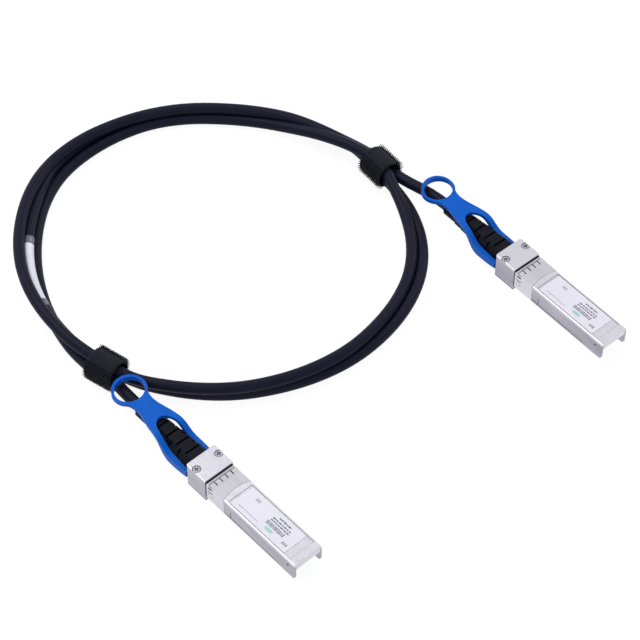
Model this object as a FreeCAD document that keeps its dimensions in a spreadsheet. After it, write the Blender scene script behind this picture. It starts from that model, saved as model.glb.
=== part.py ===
import FreeCAD, Part
import math
import os
import re
import Sketcher

# A direct attach copper cable: a thin twinax cord coiled in two and a half turns, with the same plug on
# each end.  Each plug is drawn once, in its own frame, and placed twice.
#   plug frame: +X towards the nose, Y across the plug, +Z up, X = 0 on the front face of the head,
#   Z = 0 on the surface that the plug lies on.
#   part frame: the same directions, its origin under the middle of the box around the two plugs.
# All sizes are millimetres.

Vector = FreeCAD.Vector
X_AXIS, Y_AXIS, Z_AXIS = Vector(1, 0, 0), Vector(0, 1, 0), Vector(0, 0, 1)

SIZES = [
    # die-cast housing
    ("body_width", 13.4, "width of the body that enters the cage"),
    ("body_height", 8.5, "height of that body"),
    ("body_length", 50.0, "from the head's front face to the nose"),
    ("head_length", 11.0, "length of the head outside the cage"),
    ("head_width", 13.9, "width of the head"),
    ("head_height", 11.9, "height of the head"),
    ("head_rise", 1.2, "how far the head stands above the body's top"),
    ("head_cover_thickness", 1.1, "cover plate on the head"),
    ("cover_thickness", 1.0, "cover plate on the body"),
    ("wall", 0.8, "side walls and floor of the body"),
    ("fit_gap", 0.1, "clearance between pieces that slide or drop in"),
    ("edge_radius", 0.4, "rounding of the cast outer edges"),
    ("head_radius", 0.7, "upright rear edges of the head"),
    ("nose_lip_length", 3.3, "thick lip across the nose"),
    ("nose_lip_height", 3.0, "height of that lip"),
    ("nose_opening_length", 10.4, "stretch of the nose that is open below"),
    ("ear_radius", 1.3, "rounded lower corner of each nose ear"),
    ("web_thickness", 1.2, "step of the cover between head and body"),
    ("groove_width", 0.3, "line along each side of the body"),
    ("groove_depth", 0.2, "depth of that line"),
    ("groove_height", 0.8, "height of that line above the body's floor"),
    ("mark_position", 14.0, "short upright line on each side"),
    ("mark_height", 4.4, "height of that short line"),
    ("dimple_diameter", 0.9, "dimple beside the nose"),
    ("dimple_position", 3.8, "dimple back from the nose"),
    ("dimple_drop", 3.0, "dimple below the body's top"),
    # latch post on the underside
    ("latch_setback", 45.0, "from the nose back to the post's shoulder"),
    ("latch_length", 2.6, "post along the plug"),
    ("latch_width", 2.6, "post across the plug"),
    ("latch_height", 0.5, "post below the body"),
    # circuit board
    ("board_width", 9.2, "board across the plug"),
    ("board_thickness", 1.0, "board thickness"),
    ("board_height", 2.25, "board above the body's underside"),
    ("board_setback", 3.2, "board edge behind the nose"),
    ("board_start", 5.0, "rear end of the board"),
    ("ledge_start", 7.0, "rear end of the two ledges under the board"),
    ("ledge_overlap", 0.5, "how far the board lies on each ledge"),
    ("contact_pitch", 0.8, "spacing of the gold contacts"),
    ("contact_width", 0.5, "width of a contact"),
    ("contact_length", 2.4, "length of a contact"),
    ("contact_thickness", 0.05, "contact above the board"),
    ("contact_count", 10, "contacts on each face"),
    # spring collar
    ("collar_length", 10.3, "collar from the head to its front edge"),
    ("collar_gap", 0.25, "collar off the head"),
    ("collar_thickness", 0.2, "sheet of the collar"),
    ("collar_bow", 1.2, "how far the front edge curves back at the middle"),
    ("collar_seam", 0.1, "gap ahead of the collar"),
    ("slot_start", 1.3, "slots off the head"),
    ("slot_length", 2.5, "length of a slot"),
    ("slot_width", 0.45, "width of a slot"),
    ("slot_pitch", 2.65, "spacing of the slots on top"),
    ("side_slot_pitch", 2.2, "spacing of the slots on each side"),
    ("side_slot_drop", 1.0, "first side slot below the top"),
    ("tip_slit", 0.12, "slit at the finger tips"),
    ("finger_rise", 0.25, "bulge of a finger"),
    # label
    ("label_start", 13.0, "rear end of the label"),
    ("label_margin", 3.7, "label short of the nose lip"),
    ("label_width", 11.2, "label across the plug"),
    ("label_thickness", 0.1, "label film"),
    ("recess_start", 12.0, "rear end of the recess"),
    ("recess_width", 11.8, "recess across the plug"),
    ("recess_depth", 0.15, "depth of the recess"),
    # screws
    ("screw_setback", 4.4, "screws from the head's back"),
    ("screw_spread", 11.0, "screw to screw"),
    ("screw_head_diameter", 3.0, "screw head"),
    ("screw_head_height", 0.6, "height of the screw head"),
    ("screw_shank_diameter", 1.6, "threaded shank"),
    ("screw_length", 5.0, "shank under the head"),
    ("screw_slot_width", 0.5, "arm of the cross recess"),
    ("screw_slot_length", 1.9, "length of the cross recess"),
    ("screw_slot_depth", 0.35, "depth of the cross recess"),
    ("counterbore_diameter", 3.5, "seat of the screw head"),
    ("counterbore_depth", 0.75, "depth of that seat"),
    # boot
    ("boot_length", 35.0, "boot behind the head"),
    ("boot_width", 10.3, "boot at the head"),
    ("boot_height", 7.4, "boot at the head"),
    ("boot_bevel", 1.3, "corners cut off the boot at the head"),
    ("boot_end_bevel", 1.9, "corners cut off the boot where the taper meets its sleeve"),
    ("boot_end_diameter", 6.8, "boot around the cord"),
    ("boot_sleeve_length", 7.0, "plain rear sleeve of the boot"),
    ("boot_slot_start", 5.2, "first full slot behind the head"),
    ("boot_slot_pitch", 5.6, "spacing of the full slots"),
    ("boot_slot_width", 0.85, "width of a slot"),
    ("boot_slot_depth", 1.5, "depth of a slot"),
    ("boot_slot_land", 2.2, "boot left whole at one end of a full slot"),
    ("boot_slot_count", 4, "full slots above and below"),
    ("boot_neck_width", 7.2, "boot through the head's back wall"),
    ("boot_neck_height", 5.4, "boot through the head's back wall"),
    ("back_wall", 1.1, "back wall of the head"),
    ("flange_thickness", 1.5, "flange that locks the boot"),
    ("flange_width", 7.9, "width of that flange"),
    ("flange_height", 6.4, "height of that flange"),
    # inside the head
    ("ferrule_length", 5.2, "crimp ferrule"),
    ("ferrule_diameter", 6.4, "outside of the ferrule"),
    ("ferrule_wall", 0.5, "wall of the ferrule"),
    ("pair_diameter", 1.1, "one insulated conductor"),
    ("pair_spread", 3.0, "pair to pair"),
    # latch slider
    ("slider_thickness", 0.6, "sheet of the slider"),
    ("slider_width", 11.6, "slider inside the head"),
    ("slider_rear", 2.2, "slider behind the head at rest"),
    ("slider_release", 2.3, "travel of the slider and the tab"),
    ("tine_width", 1.5, "each tine beside the latch post"),
    ("tine_gap", 0.3, "tine off the latch post"),
    ("tine_reach", 2.8, "tine tips ahead of the post's shoulder"),
    ("ear_height", 5.2, "top of the upright ears"),
    ("ear_length", 3.6, "ears along the plug"),
    ("lug_setback", 2.0, "spring lugs behind the head's front"),
    ("lug_height", 4.7, "top of the spring lugs"),
    # return springs
    ("spring_diameter", 1.8, "outside of a spring"),
    ("spring_wire", 0.3, "square wire"),
    ("spring_turns", 5.0, "turns"),
    ("spring_offset", 4.95, "spring off the middle"),
    ("spring_height", 3.7, "spring above the table"),
    ("spring_pocket_length", 6.2, "pocket behind the lugs"),
    # pull tab
    ("tab_length", 49.0, "tab behind the head"),
    ("tab_width", 14.5, "across the arms"),
    ("tab_front_width", 13.7, "across the arms at the head"),
    ("tab_gap", 0.4, "tab off the head at rest"),
    ("tab_side_gap", 0.4, "window off the boot's sides"),
    ("tab_window_nose", 3.0, "rounded end of the window"),
    ("tab_arm_height", 3.2, "arm, top to bottom"),
    ("tab_arm_bottom", 3.1, "underside of the arms"),
    ("tab_plate_thickness", 1.5, "neck plate"),
    ("tab_clearance", 0.35, "neck above the boot"),
    ("tab_neck_width", 8.4, "narrowest place of the neck"),
    ("tab_window_length", 24.4, "open window behind the head"),
    ("ring_length", 13.6, "outside of the finger ring"),
    ("ring_width", 14.6, "outside of the finger ring"),
    ("ring_band", 1.1, "band of the ring"),
    ("ring_height", 1.7, "band beside the neck"),
    ("ring_end_height", 2.8, "band at the far end"),
    # cord
    ("cord_diameter", 4.85, "jacket of the twinax cord"),
    ("coil_center_x", -93.5, "coil's middle from plug b"),
    ("coil_center_y", 79.5, "coil's middle from plug b"),
    ("tie_a_angle", 78.7, "tie a around the coil, in degrees"),
    ("tie_a_heading", 175.0, "direction of the cord in tie a, in degrees"),
    ("tie_b_angle", 286.5, "tie b around the coil, in degrees"),
    ("tie_b_heading", 193.0, "direction of the cord in tie b, in degrees"),
    ("tie_length", 12.5, "strap of a tie, along the cord"),
    ("tie_diameter", 13.2, "outside of a tie"),
    ("tie_thickness", 1.0, "wraps of a tie"),
    ("tie_gap", 0.35, "tie off the strands"),
    ("tail_seat", 20.0, "tail below the tie's middle, in degrees around the tie"),
    ("tail_straight", 9.0, "tail straight out of the boot"),
    ("tail_a_approach", 9.0, "tail a in line with its tie"),
    ("tail_b_approach", 6.0, "tail b in line with its tie"),
    ("wrap_angle", 239.5, "printed wrap around the coil, in degrees"),
    ("wrap_radius", 78.2, "middle strand at the wrap"),
    ("wrap_height", 5.3, "middle strand above the table at the wrap"),
    ("wrap_length", 28.0, "printed wrap on the cord"),
    ("wrap_thickness", 0.15, "film of that wrap"),
    ("sleeve_length", 33.0, "clear sleeve over the wrap"),
    ("sleeve_thickness", 0.25, "film of that sleeve"),
    # where the second plug lies
    ("plug_a_forward", 3.67, "plug a ahead of plug b"),
    ("plug_a_aside", 160.6, "plug a beside plug b"),
    ("plug_a_turn", -1.67, "plug a turned, in degrees"),
]

doc = FreeCAD.newDocument("direct_attach_cable")
sheet = doc.addObject("Spreadsheet::Sheet", "sizes")
for row, (alias, value, meaning) in enumerate(SIZES, start=1):
    sheet.set(f"A{row}", meaning)
    sheet.set(f"B{row}", str(value))
    sheet.setAlias(f"B{row}", alias)
doc.recompute()

ALIASES = {alias for alias, _, _ in SIZES}

# Heights and places that several pieces share, written with the sheet's names.
BODY_TOP = "(head_height - head_rise)"
BODY_FLOOR = "(head_height - head_rise - body_height)"
BODY_SEAM = "(head_height - head_rise - cover_thickness)"
HEAD_SEAM = "(head_height - head_cover_thickness)"
CORD_AXIS = "(head_height / 2)"
INNER_HALF = "(body_width / 2 - wall)"
NECK_HALF = "(body_width / 2 - collar_thickness)"
BOARD_UNDER = "(head_height - head_rise - body_height + board_height)"
SLIDER_TOP = "(head_height - head_rise - body_height - fit_gap)"
SLIDER_UNDER = "(head_height - head_rise - body_height - fit_gap - slider_thickness)"
FLANGE_FRONT = "(-head_length + back_wall + flange_thickness)"
FERRULE_FRONT = "(-head_length + back_wall + flange_thickness + ferrule_length)"
BOW_RADIUS = "((body_width ^ 2 / 4 + collar_bow ^ 2) / (2 * collar_bow))"
LATCH_SHOULDER = "(body_length - latch_setback)"
LUG_BACK = "(-lug_setback - slider_thickness)"


def bound(expression):
    """Writes an expression for FreeCAD: each size's name becomes a cell of the sheet."""
    return re.sub(r"[a-z_]+", lambda m: f"sizes.{m.group()}" if m.group() in ALIASES else m.group(),
                  expression)


def value(expression):
    """The number that an expression has now."""
    return float(sheet.evalExpression(bound(expression)))


# ------------------------------------------------------------------ Part primitives and booleans

def block(name, x0, x1, y0, y1, z0, z1):
    """A box between two corners, each coordinate an expression of the sheet's sizes."""
    box = doc.addObject("Part::Box", name)
    for size_name, low, high, axis in (("Length", x0, x1, "x"), ("Width", y0, y1, "y"),
                                       ("Height", z0, z1, "z")):
        box.setExpression(size_name, bound(f"({high}) - ({low})"))
        box.setExpression(f"Placement.Base.{axis}", bound(low))
    return box


def slab(name, x0, x1, half, z0, z1):
    """A box that lies evenly about the plug's middle."""
    return block(name, x0, x1, f"-({half})", half, z0, z1)


def rod(name, direction, x, y, z, radius, length):
    """A cylinder that starts at (x, y, z) and runs along direction."""
    cylinder = doc.addObject("Part::Cylinder", name)
    cylinder.setExpression("Radius", bound(radius))
    cylinder.setExpression("Height", bound(length))
    cylinder.Placement.Rotation = FreeCAD.Rotation(Z_AXIS, direction)
    for axis, place in (("x", x), ("y", y), ("z", z)):
        cylinder.setExpression(f"Placement.Base.{axis}", bound(place))
    return cylinder


def fuse(name, pieces):
    result = doc.addObject("Part::MultiFuse", name)
    result.Shapes = pieces
    result.Refine = True
    return result


def cut(name, base, tools):
    result = doc.addObject("Part::Cut", name)
    result.Base = base
    result.Tool = tools[0] if len(tools) == 1 else fuse(name + "_tools", tools)
    result.Refine = True
    return result


def common(name, pieces):
    result = doc.addObject("Part::MultiCommon", name)
    result.Shapes = pieces
    result.Refine = True
    return result


def shaped(name, shape):
    """Holds a shape that is worked out from the sheet in this file."""
    feature = doc.addObject("Part::Feature", name)
    feature.Shape = shape
    return feature


def prism(name, points, half, middle="0"):
    """A profile in the XZ plane, carried across the plug from one side to the other."""
    corners = [Vector(value(x), value(middle) - value(half), value(z)) for x, z in points]
    outline = Part.makePolygon(corners + corners[:1])
    return shaped(name, Part.Face(outline).extrude(Vector(0, 2 * value(half), 0)))


def fillet(name, base, radius, test):
    """Rounds the edges of a piece whose middle points pass the test."""
    doc.recompute()
    result = doc.addObject("Part::Fillet", name)
    result.Base = base
    result.Edges = [(number, radius, radius) for number, edge in enumerate(base.Shape.Edges, start=1)
                    if test(edge.CenterOfMass)]
    return result


def near(a, b):
    return abs(a - b) < 1e-4


# ------------------------------------------------------------------ PartDesign sketches and features

def new_body(name):
    return doc.addObject("PartDesign::Body", name)


def new_sketch(body, name, plane, x="0", y="0", z="0"):
    """A sketch on one of the body's own planes; x, y and z move it in the plane's own directions."""
    sketch = body.newObject("Sketcher::SketchObject", name)
    support = next(item for item in body.Origin.OriginFeatures if item.Role == plane)
    sketch.AttachmentSupport = [(support, "")]
    sketch.MapMode = "FlatFace"
    for axis, place in (("x", x), ("y", y), ("z", z)):
        sketch.setExpression(f"AttachmentOffset.Base.{axis}", bound(place))
    return sketch


def dimension(sketch, kind, where, size):
    """Adds a dimension and ties it to the sheet."""
    index = sketch.addConstraint(Sketcher.Constraint(kind, *where, value(size)))
    sketch.setExpression(f"Constraints[{index}]", bound(size))


def draw_rectangle(sketch, width, height):
    """A rectangle about the sketch's origin."""
    w, h = value(width) / 2, value(height) / 2
    corners = [Vector(-w, -h, 0), Vector(w, -h, 0), Vector(w, h, 0), Vector(-w, h, 0)]
    first = sketch.GeometryCount
    for index in range(4):
        sketch.addGeometry(Part.LineSegment(corners[index], corners[(index + 1) % 4]))
    for index in range(4):
        sketch.addConstraint(Sketcher.Constraint("Coincident", first + index, 2,
                                                 first + (index + 1) % 4, 1))
    for index, kind in enumerate(("Horizontal", "Vertical", "Horizontal", "Vertical")):
        sketch.addConstraint(Sketcher.Constraint(kind, first + index))
    sketch.addConstraint(Sketcher.Constraint("Symmetric", first, 1, first + 2, 1, -1, 1))
    dimension(sketch, "DistanceX", (first, 1, first, 2), width)
    dimension(sketch, "DistanceY", (first + 1, 1, first + 1, 2), height)


def draw_rounded_rectangle(sketch, width, height, radius):
    """A rectangle about the sketch's origin, with its corners as tangent arcs."""
    w, h, r = value(width) / 2, value(height) / 2, value(radius)
    first = sketch.GeometryCount
    lines = [((-w + r, h), (w - r, h)), ((w, h - r), (w, -h + r)), ((w - r, -h), (-w + r, -h)),
             ((-w, -h + r), (-w, h - r))]
    arcs = [((w - r, h - r), 0), ((w - r, -h + r), 270), ((-w + r, -h + r), 180), ((-w + r, h - r), 90)]
    for start, end in lines:
        sketch.addGeometry(Part.LineSegment(Vector(*start, 0), Vector(*end, 0)))
    for center, angle in arcs:
        circle = Part.Circle(Vector(*center, 0), Z_AXIS, r)
        sketch.addGeometry(Part.ArcOfCircle(circle, math.radians(angle), math.radians(angle + 90)))
    top, right, bottom, left = range(first, first + 4)
    top_right, bottom_right, bottom_left, top_left = range(first + 4, first + 8)
    joints = [(top, 1, top_left, 1), (top, 2, top_right, 2), (right, 1, top_right, 1),
              (right, 2, bottom_right, 2), (bottom, 1, bottom_right, 1), (bottom, 2, bottom_left, 2),
              (left, 1, bottom_left, 1), (left, 2, top_left, 2)]
    for joint in joints:
        sketch.addConstraint(Sketcher.Constraint("Tangent", *joint))
    for line, kind in ((top, "Horizontal"), (bottom, "Horizontal"), (right, "Vertical"), (left, "Vertical")):
        sketch.addConstraint(Sketcher.Constraint(kind, line))
    for arc in (bottom_right, bottom_left, top_left):
        sketch.addConstraint(Sketcher.Constraint("Equal", top_right, arc))
    sketch.addConstraint(Sketcher.Constraint("Symmetric", top_left, 3, bottom_right, 3, -1, 1))
    dimension(sketch, "Radius", (top_right,), radius)
    dimension(sketch, "DistanceX", (left, 1, right, 2), width)
    dimension(sketch, "DistanceY", (bottom, 1, top, 2), height)


def draw_circle(sketch, diameter):
    """A circle about the sketch's origin."""
    index = sketch.addGeometry(Part.Circle(Vector(0, 0, 0), Z_AXIS, value(diameter) / 2))
    sketch.addConstraint(Sketcher.Constraint("Coincident", index, 3, -1, 1))
    dimension(sketch, "Diameter", (index,), diameter)


def pad(body, name, sketch, length, midplane=False):
    feature = body.newObject("PartDesign::Pad", name)
    feature.Profile = sketch
    feature.setExpression("Length", bound(length))
    if midplane:
        feature.Midplane = True
    return feature


def pocket(body, name, sketch, length, midplane=False, reverse=False):
    """Cuts a sketch into the body; the volume has to go down."""
    doc.recompute()
    before = body.Shape.Volume
    feature = body.newObject("PartDesign::Pocket", name)
    feature.Profile = sketch
    feature.setExpression("Length", bound(length))
    feature.Midplane = midplane
    feature.Reversed = reverse
    doc.recompute()
    if body.Shape.Volume > before - 1e-6:
        raise ValueError(f"{name} cuts nothing")
    return feature


# ------------------------------------------------------------------ the pieces of one plug

def housing_base(name):
    """The lower casting: head, floor, side walls and the two ears of the nose."""
    head = slab(f"{name}_head", "-head_length", "0", "head_width / 2", "0", HEAD_SEAM)
    neck = slab(f"{name}_neck", "0", "collar_length + collar_seam", NECK_HALF,
                f"{BODY_FLOOR} + collar_thickness", BODY_SEAM)
    walls = slab(f"{name}_walls", "collar_length + collar_seam", "body_length", "body_width / 2", BODY_FLOOR,
                 BODY_SEAM)
    post = prism(f"{name}_post", [
        (LATCH_SHOULDER, f"{BODY_FLOOR} + wall / 2"),
        (LATCH_SHOULDER, f"{BODY_FLOOR} - latch_height"),
        (f"{LATCH_SHOULDER} + latch_length - 2 * latch_height", f"{BODY_FLOOR} - latch_height"),
        (f"{LATCH_SHOULDER} + latch_length", BODY_FLOOR),
        (f"{LATCH_SHOULDER} + latch_length", f"{BODY_FLOOR} + wall / 2")], "latch_width / 2")
    outside = fuse(f"{name}_outside", [head, neck, walls, post])

    hollow = slab(f"{name}_hollow", "-web_thickness", "body_length + 1", INNER_HALF,
                  f"{BODY_FLOOR} + wall", "head_height")
    open_nose = slab(f"{name}_open_nose", "body_length - nose_opening_length", "body_length + 1",
                     INNER_HALF, "-1", f"{BODY_FLOOR} + 2 * wall")
    step = slab(f"{name}_step", "-web_thickness", "1", "body_width / 2", BODY_SEAM, "head_height")
    front_room = slab(f"{name}_front_room", f"{FERRULE_FRONT} - fit_gap", "0", "ferrule_diameter / 2",
                      f"{CORD_AXIS} - ferrule_diameter / 2", f"{CORD_AXIS} + ferrule_diameter / 2")
    bore = rod(f"{name}_bore", X_AXIS, f"{FLANGE_FRONT} - fit_gap", "0", CORD_AXIS,
               "ferrule_diameter / 2 + fit_gap", "ferrule_length + 2 * fit_gap")
    flange_room = slab(f"{name}_flange_room", "-head_length + back_wall", FLANGE_FRONT, "flange_width / 2",
                       f"{CORD_AXIS} - flange_height / 2", f"{CORD_AXIS} + flange_height / 2")
    exit_room = slab(f"{name}_exit", "-head_length - 1", "-head_length + back_wall", "boot_neck_width / 2",
                     f"{CORD_AXIS} - boot_neck_height / 2", f"{CORD_AXIS} + boot_neck_height / 2")
    channel = slab(f"{name}_channel", "-head_length - 1", "1", "slider_width / 2 + fit_gap",
                   f"{SLIDER_UNDER} - fit_gap", f"{SLIDER_TOP} + fit_gap")
    tools = [hollow, open_nose, step, front_room, bore, flange_room, exit_room, channel]
    for side, sign in (("left", "-"), ("right", "")):
        inner = f"{sign}(spring_offset - spring_diameter / 2 - fit_gap)"
        outer = f"{sign}(slider_width / 2 + fit_gap)"
        low, high = (outer, inner) if sign else (inner, outer)
        tools.append(block(f"{name}_spring_pocket_{side}", f"{LUG_BACK} - spring_pocket_length",
                           "-lug_setback + fit_gap", low, high, SLIDER_TOP,
                           "spring_height + spring_diameter / 2 + fit_gap"))
        tools.append(rod(f"{name}_screw_hole_{side}", Z_AXIS, "-head_length + screw_setback",
                         f"{sign}screw_spread / 2",
                         "head_height - counterbore_depth - screw_length - fit_gap",
                         "screw_shank_diameter / 2", "screw_length + fit_gap"))
        skin = f"{sign}(body_width / 2 - groove_depth)"
        beyond = f"{sign}(body_width / 2 + 1)"
        low, high = (beyond, skin) if sign else (skin, beyond)
        tools.append(block(f"{name}_groove_{side}", "collar_length + collar_seam",
                           "body_length - nose_opening_length", low, high,
                           f"{BODY_FLOOR} + groove_height", f"{BODY_FLOOR} + groove_height + groove_width"))
        tools.append(block(f"{name}_mark_{side}", "mark_position", "mark_position + groove_width", low, high,
                           BODY_FLOOR, f"{BODY_FLOOR} + mark_height"))
        tools.append(rod(f"{name}_dimple_{side}", Y_AXIS, "body_length - dimple_position",
                         skin if not sign else f"-(body_width / 2 + 1)",
                         f"{BODY_TOP} - dimple_drop", "dimple_diameter / 2", "1 + groove_depth"))
    shell = cut(f"{name}_shell", outside, tools)
    ledges = []
    for side, sign in (("left", "-"), ("right", "")):
        inner = f"{sign}(board_width / 2 - ledge_overlap)"
        outer = f"{sign}({INNER_HALF} + wall / 2)"
        low, high = (outer, inner) if sign else (inner, outer)
        ledges.append(block(f"{name}_ledge_{side}", "ledge_start", "body_length - nose_opening_length", low,
                            high, f"{BODY_FLOOR} + wall / 2", BOARD_UNDER))
    whole = fuse(f"{name}_whole", [shell] + ledges)

    nose, floor = value("body_length"), value(BODY_FLOOR)
    eared = fillet(f"{name}_ears", whole, value("ear_radius"),
                   lambda p: near(p.x, nose) and near(p.z, floor))
    back, side = -value("head_length"), value("head_width") / 2
    return fillet(name, eared, value("head_radius"), lambda p: near(p.x, back) and near(abs(p.y), side))


def bow_cylinder(name, ahead="0"):
    """The upright cylinder whose face is the curved joint between collar and cover."""
    return rod(name, Z_AXIS, f"collar_length - collar_bow + {BOW_RADIUS} + {ahead}", "0", BODY_FLOOR,
               BOW_RADIUS, "head_height")


def housing_cover(name):
    """The upper casting: head plate, step, body plate with the label's recess, and the nose lip."""
    back, head_side, head_top = -value("head_length"), value("head_width") / 2, value("head_height")
    nose, side, top = value("body_length"), value("body_width") / 2, value(BODY_TOP)
    block_head = slab(f"{name}_block_head", "-head_length", "0", "head_width / 2", HEAD_SEAM, "head_height")
    cornered = fillet(f"{name}_cornered", block_head, value("head_radius"),
                      lambda p: near(p.x, back) and near(abs(p.y), head_side))
    head = fillet(f"{name}_head", cornered, value("edge_radius") / 2, lambda p: near(p.z, head_top))
    web = slab(f"{name}_web", "-web_thickness", "0", "body_width / 2", BODY_SEAM, HEAD_SEAM)
    neck = slab(f"{name}_neck", "0", "collar_length + collar_seam", NECK_HALF, BODY_SEAM,
                f"{BODY_TOP} - collar_thickness")
    bow = common(f"{name}_bow", [
        bow_cylinder(f"{name}_bow_round", "collar_seam"),
        slab(f"{name}_bow_room", "0", "collar_length + collar_seam", "body_width / 2",
             f"{BODY_TOP} - collar_thickness", BODY_TOP)])
    block_plate = slab(f"{name}_block_plate", "collar_length + collar_seam", "body_length",
                       "body_width / 2", BODY_SEAM, BODY_TOP)
    plate = fillet(f"{name}_plate", block_plate, value("edge_radius"),
                   lambda p: near(p.z, top) and (near(abs(p.y), side) or near(p.x, nose)))
    lip = slab(f"{name}_lip", "body_length - nose_lip_length", "body_length", f"{INNER_HALF} - fit_gap / 2",
               f"{BODY_TOP} - nose_lip_height", BODY_SEAM)
    outside = fuse(f"{name}_outside", [head, web, neck, bow, plate, lip])
    tools = [slab(f"{name}_recess", "recess_start", "body_length - nose_lip_length", "recess_width / 2",
                  f"{BODY_TOP} - recess_depth", "head_height")]
    for side_name, sign in (("left", "-"), ("right", "")):
        place = ("-head_length + screw_setback", f"{sign}screw_spread / 2")
        tools.append(rod(f"{name}_seat_{side_name}", Z_AXIS, *place, "head_height - counterbore_depth",
                         "counterbore_diameter / 2", "counterbore_depth + 1"))
        tools.append(rod(f"{name}_hole_{side_name}", Z_AXIS, *place, f"{HEAD_SEAM} - 1",
                         "screw_shank_diameter / 2 + fit_gap", "head_cover_thickness + 1"))
    return cut(name, outside, tools)


def emi_collar(name):
    """The sprung sheet collar around the body, with its fingers cut free at the head."""
    front = "collar_length"
    sheet_outside = slab(f"{name}_outside", "collar_gap", front, "body_width / 2", BODY_FLOOR, BODY_TOP)
    tools = [slab(f"{name}_inside", "0", f"{front} + 1", NECK_HALF, f"{BODY_FLOOR} + collar_thickness",
                  f"{BODY_TOP} - collar_thickness"),
             common(f"{name}_bow", [bow_cylinder(f"{name}_bow_round"),
                                    slab(f"{name}_bow_room", "0", f"{front} + 1", "body_width / 2",
                                         f"{BODY_TOP} - collar_thickness", "head_height")]),
             slab(f"{name}_latch_notch", f"{LATCH_SHOULDER} - 2 * slider_release", f"{front} + 1",
                  "latch_width / 2 + tine_gap + tine_width + fit_gap", "0", f"{BODY_FLOOR} + 2 * wall")]
    slot_end = "slot_start + slot_length"
    for index in range(-2, 2):
        middle = f"({index} + 0.5) * slot_pitch"
        tools.append(block(f"{name}_top_slot_{index + 2}", "slot_start", slot_end,
                           f"{middle} - slot_width / 2", f"{middle} + slot_width / 2",
                           f"{BODY_TOP} - 2 * collar_thickness", "head_height"))
    for index in range(3):
        middle = f"{BODY_TOP} - side_slot_drop - {index} * side_slot_pitch"
        tools.append(slab(f"{name}_side_slot_{index}", "slot_start", slot_end, "body_width",
                          f"{middle} - slot_width / 2", f"{middle} + slot_width / 2"))
    tools.append(slab(f"{name}_tip_slit", "slot_start", "slot_start + tip_slit", "2.5 * slot_pitch - slot_width",
                      f"{BODY_TOP} - 2 * collar_thickness", "head_height"))
    shell = cut(f"{name}_shell", sheet_outside, tools)

    # Each finger bulges as a shallow arc: a cylinder across it, of which only the crown stands out.
    crown_radius = "((slot_length - tip_slit) ^ 2 / 4 + finger_rise ^ 2) / (2 * finger_rise)"
    crown_middle = "slot_start + (slot_length + tip_slit) / 2"
    finger = "slot_pitch - slot_width"
    bulges = []
    for index in range(-2, 3):
        middle = f"{index} * slot_pitch"
        bulge_round = rod(f"{name}_top_round_{index + 2}", Y_AXIS, crown_middle, f"{middle} - ({finger}) / 2",
                          f"{BODY_TOP} + finger_rise - ({crown_radius})", crown_radius, finger)
        room = slab(f"{name}_top_room_{index + 2}", "slot_start + tip_slit", slot_end, "body_width",
                    f"{BODY_TOP} - collar_thickness / 2", "head_height + 1")
        bulges.append(common(f"{name}_top_finger_{index + 2}", [bulge_round, room]))
    side_finger = "side_slot_pitch - slot_width"
    for side, sign in (("left", "-"), ("right", "")):
        for index in range(2):
            low = f"{BODY_TOP} - side_slot_drop - {index} * side_slot_pitch - side_slot_pitch + slot_width / 2"
            bulge_round = rod(f"{name}_{side}_round_{index}", Z_AXIS, crown_middle,
                              f"{sign}(body_width / 2 + finger_rise - ({crown_radius}))", low, crown_radius,
                              side_finger)
            edges = [f"{sign}(body_width / 2 - collar_thickness / 2)", f"{sign}(body_width)"]
            low_y, high_y = reversed(edges) if sign else edges
            room = block(f"{name}_{side}_room_{index}", "slot_start + tip_slit", slot_end, low_y, high_y,
                         "0", "head_height")
            bulges.append(common(f"{name}_{side}_finger_{index}", [bulge_round, room]))
    return fuse(name, [shell] + bulges)


def label(name):
    """The film on top of the body."""
    body = new_body(name)
    front = "body_length - nose_lip_length - label_margin"
    sketch = new_sketch(body, f"{name}_outline", "XY_Plane", x=f"(label_start + {front}) / 2",
                        z=f"{BODY_TOP} - recess_depth")
    draw_rounded_rectangle(sketch, f"{front} - label_start", "label_width", "edge_radius")
    pad(body, f"{name}_film", sketch, "label_thickness")
    return body


def screw(name, sign):
    """A small cross-head screw, turned about its axis and cut for the driver."""
    body = new_body(name)
    place = {"x": "-head_length + screw_setback", "y": f"{sign}screw_spread / 2"}
    seat = "head_height - counterbore_depth"
    shank = new_sketch(body, f"{name}_shank_circle", "XY_Plane", z=f"{seat} - screw_length", **place)
    draw_circle(shank, "screw_shank_diameter")
    pad(body, f"{name}_shank", shank, "screw_length")
    head = new_sketch(body, f"{name}_head_circle", "XY_Plane", z=seat, **place)
    draw_circle(head, "screw_head_diameter")
    pad(body, f"{name}_head", head, "screw_head_height")
    for turn, sizes in enumerate((("screw_slot_length", "screw_slot_width"),
                                  ("screw_slot_width", "screw_slot_length"))):
        slot = new_sketch(body, f"{name}_slot_outline_{turn}", "XY_Plane",
                          z=f"{seat} + screw_head_height", **place)
        draw_rectangle(slot, *sizes)
        pocket(body, f"{name}_slot_{turn}", slot, "screw_slot_depth")
    return body


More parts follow.
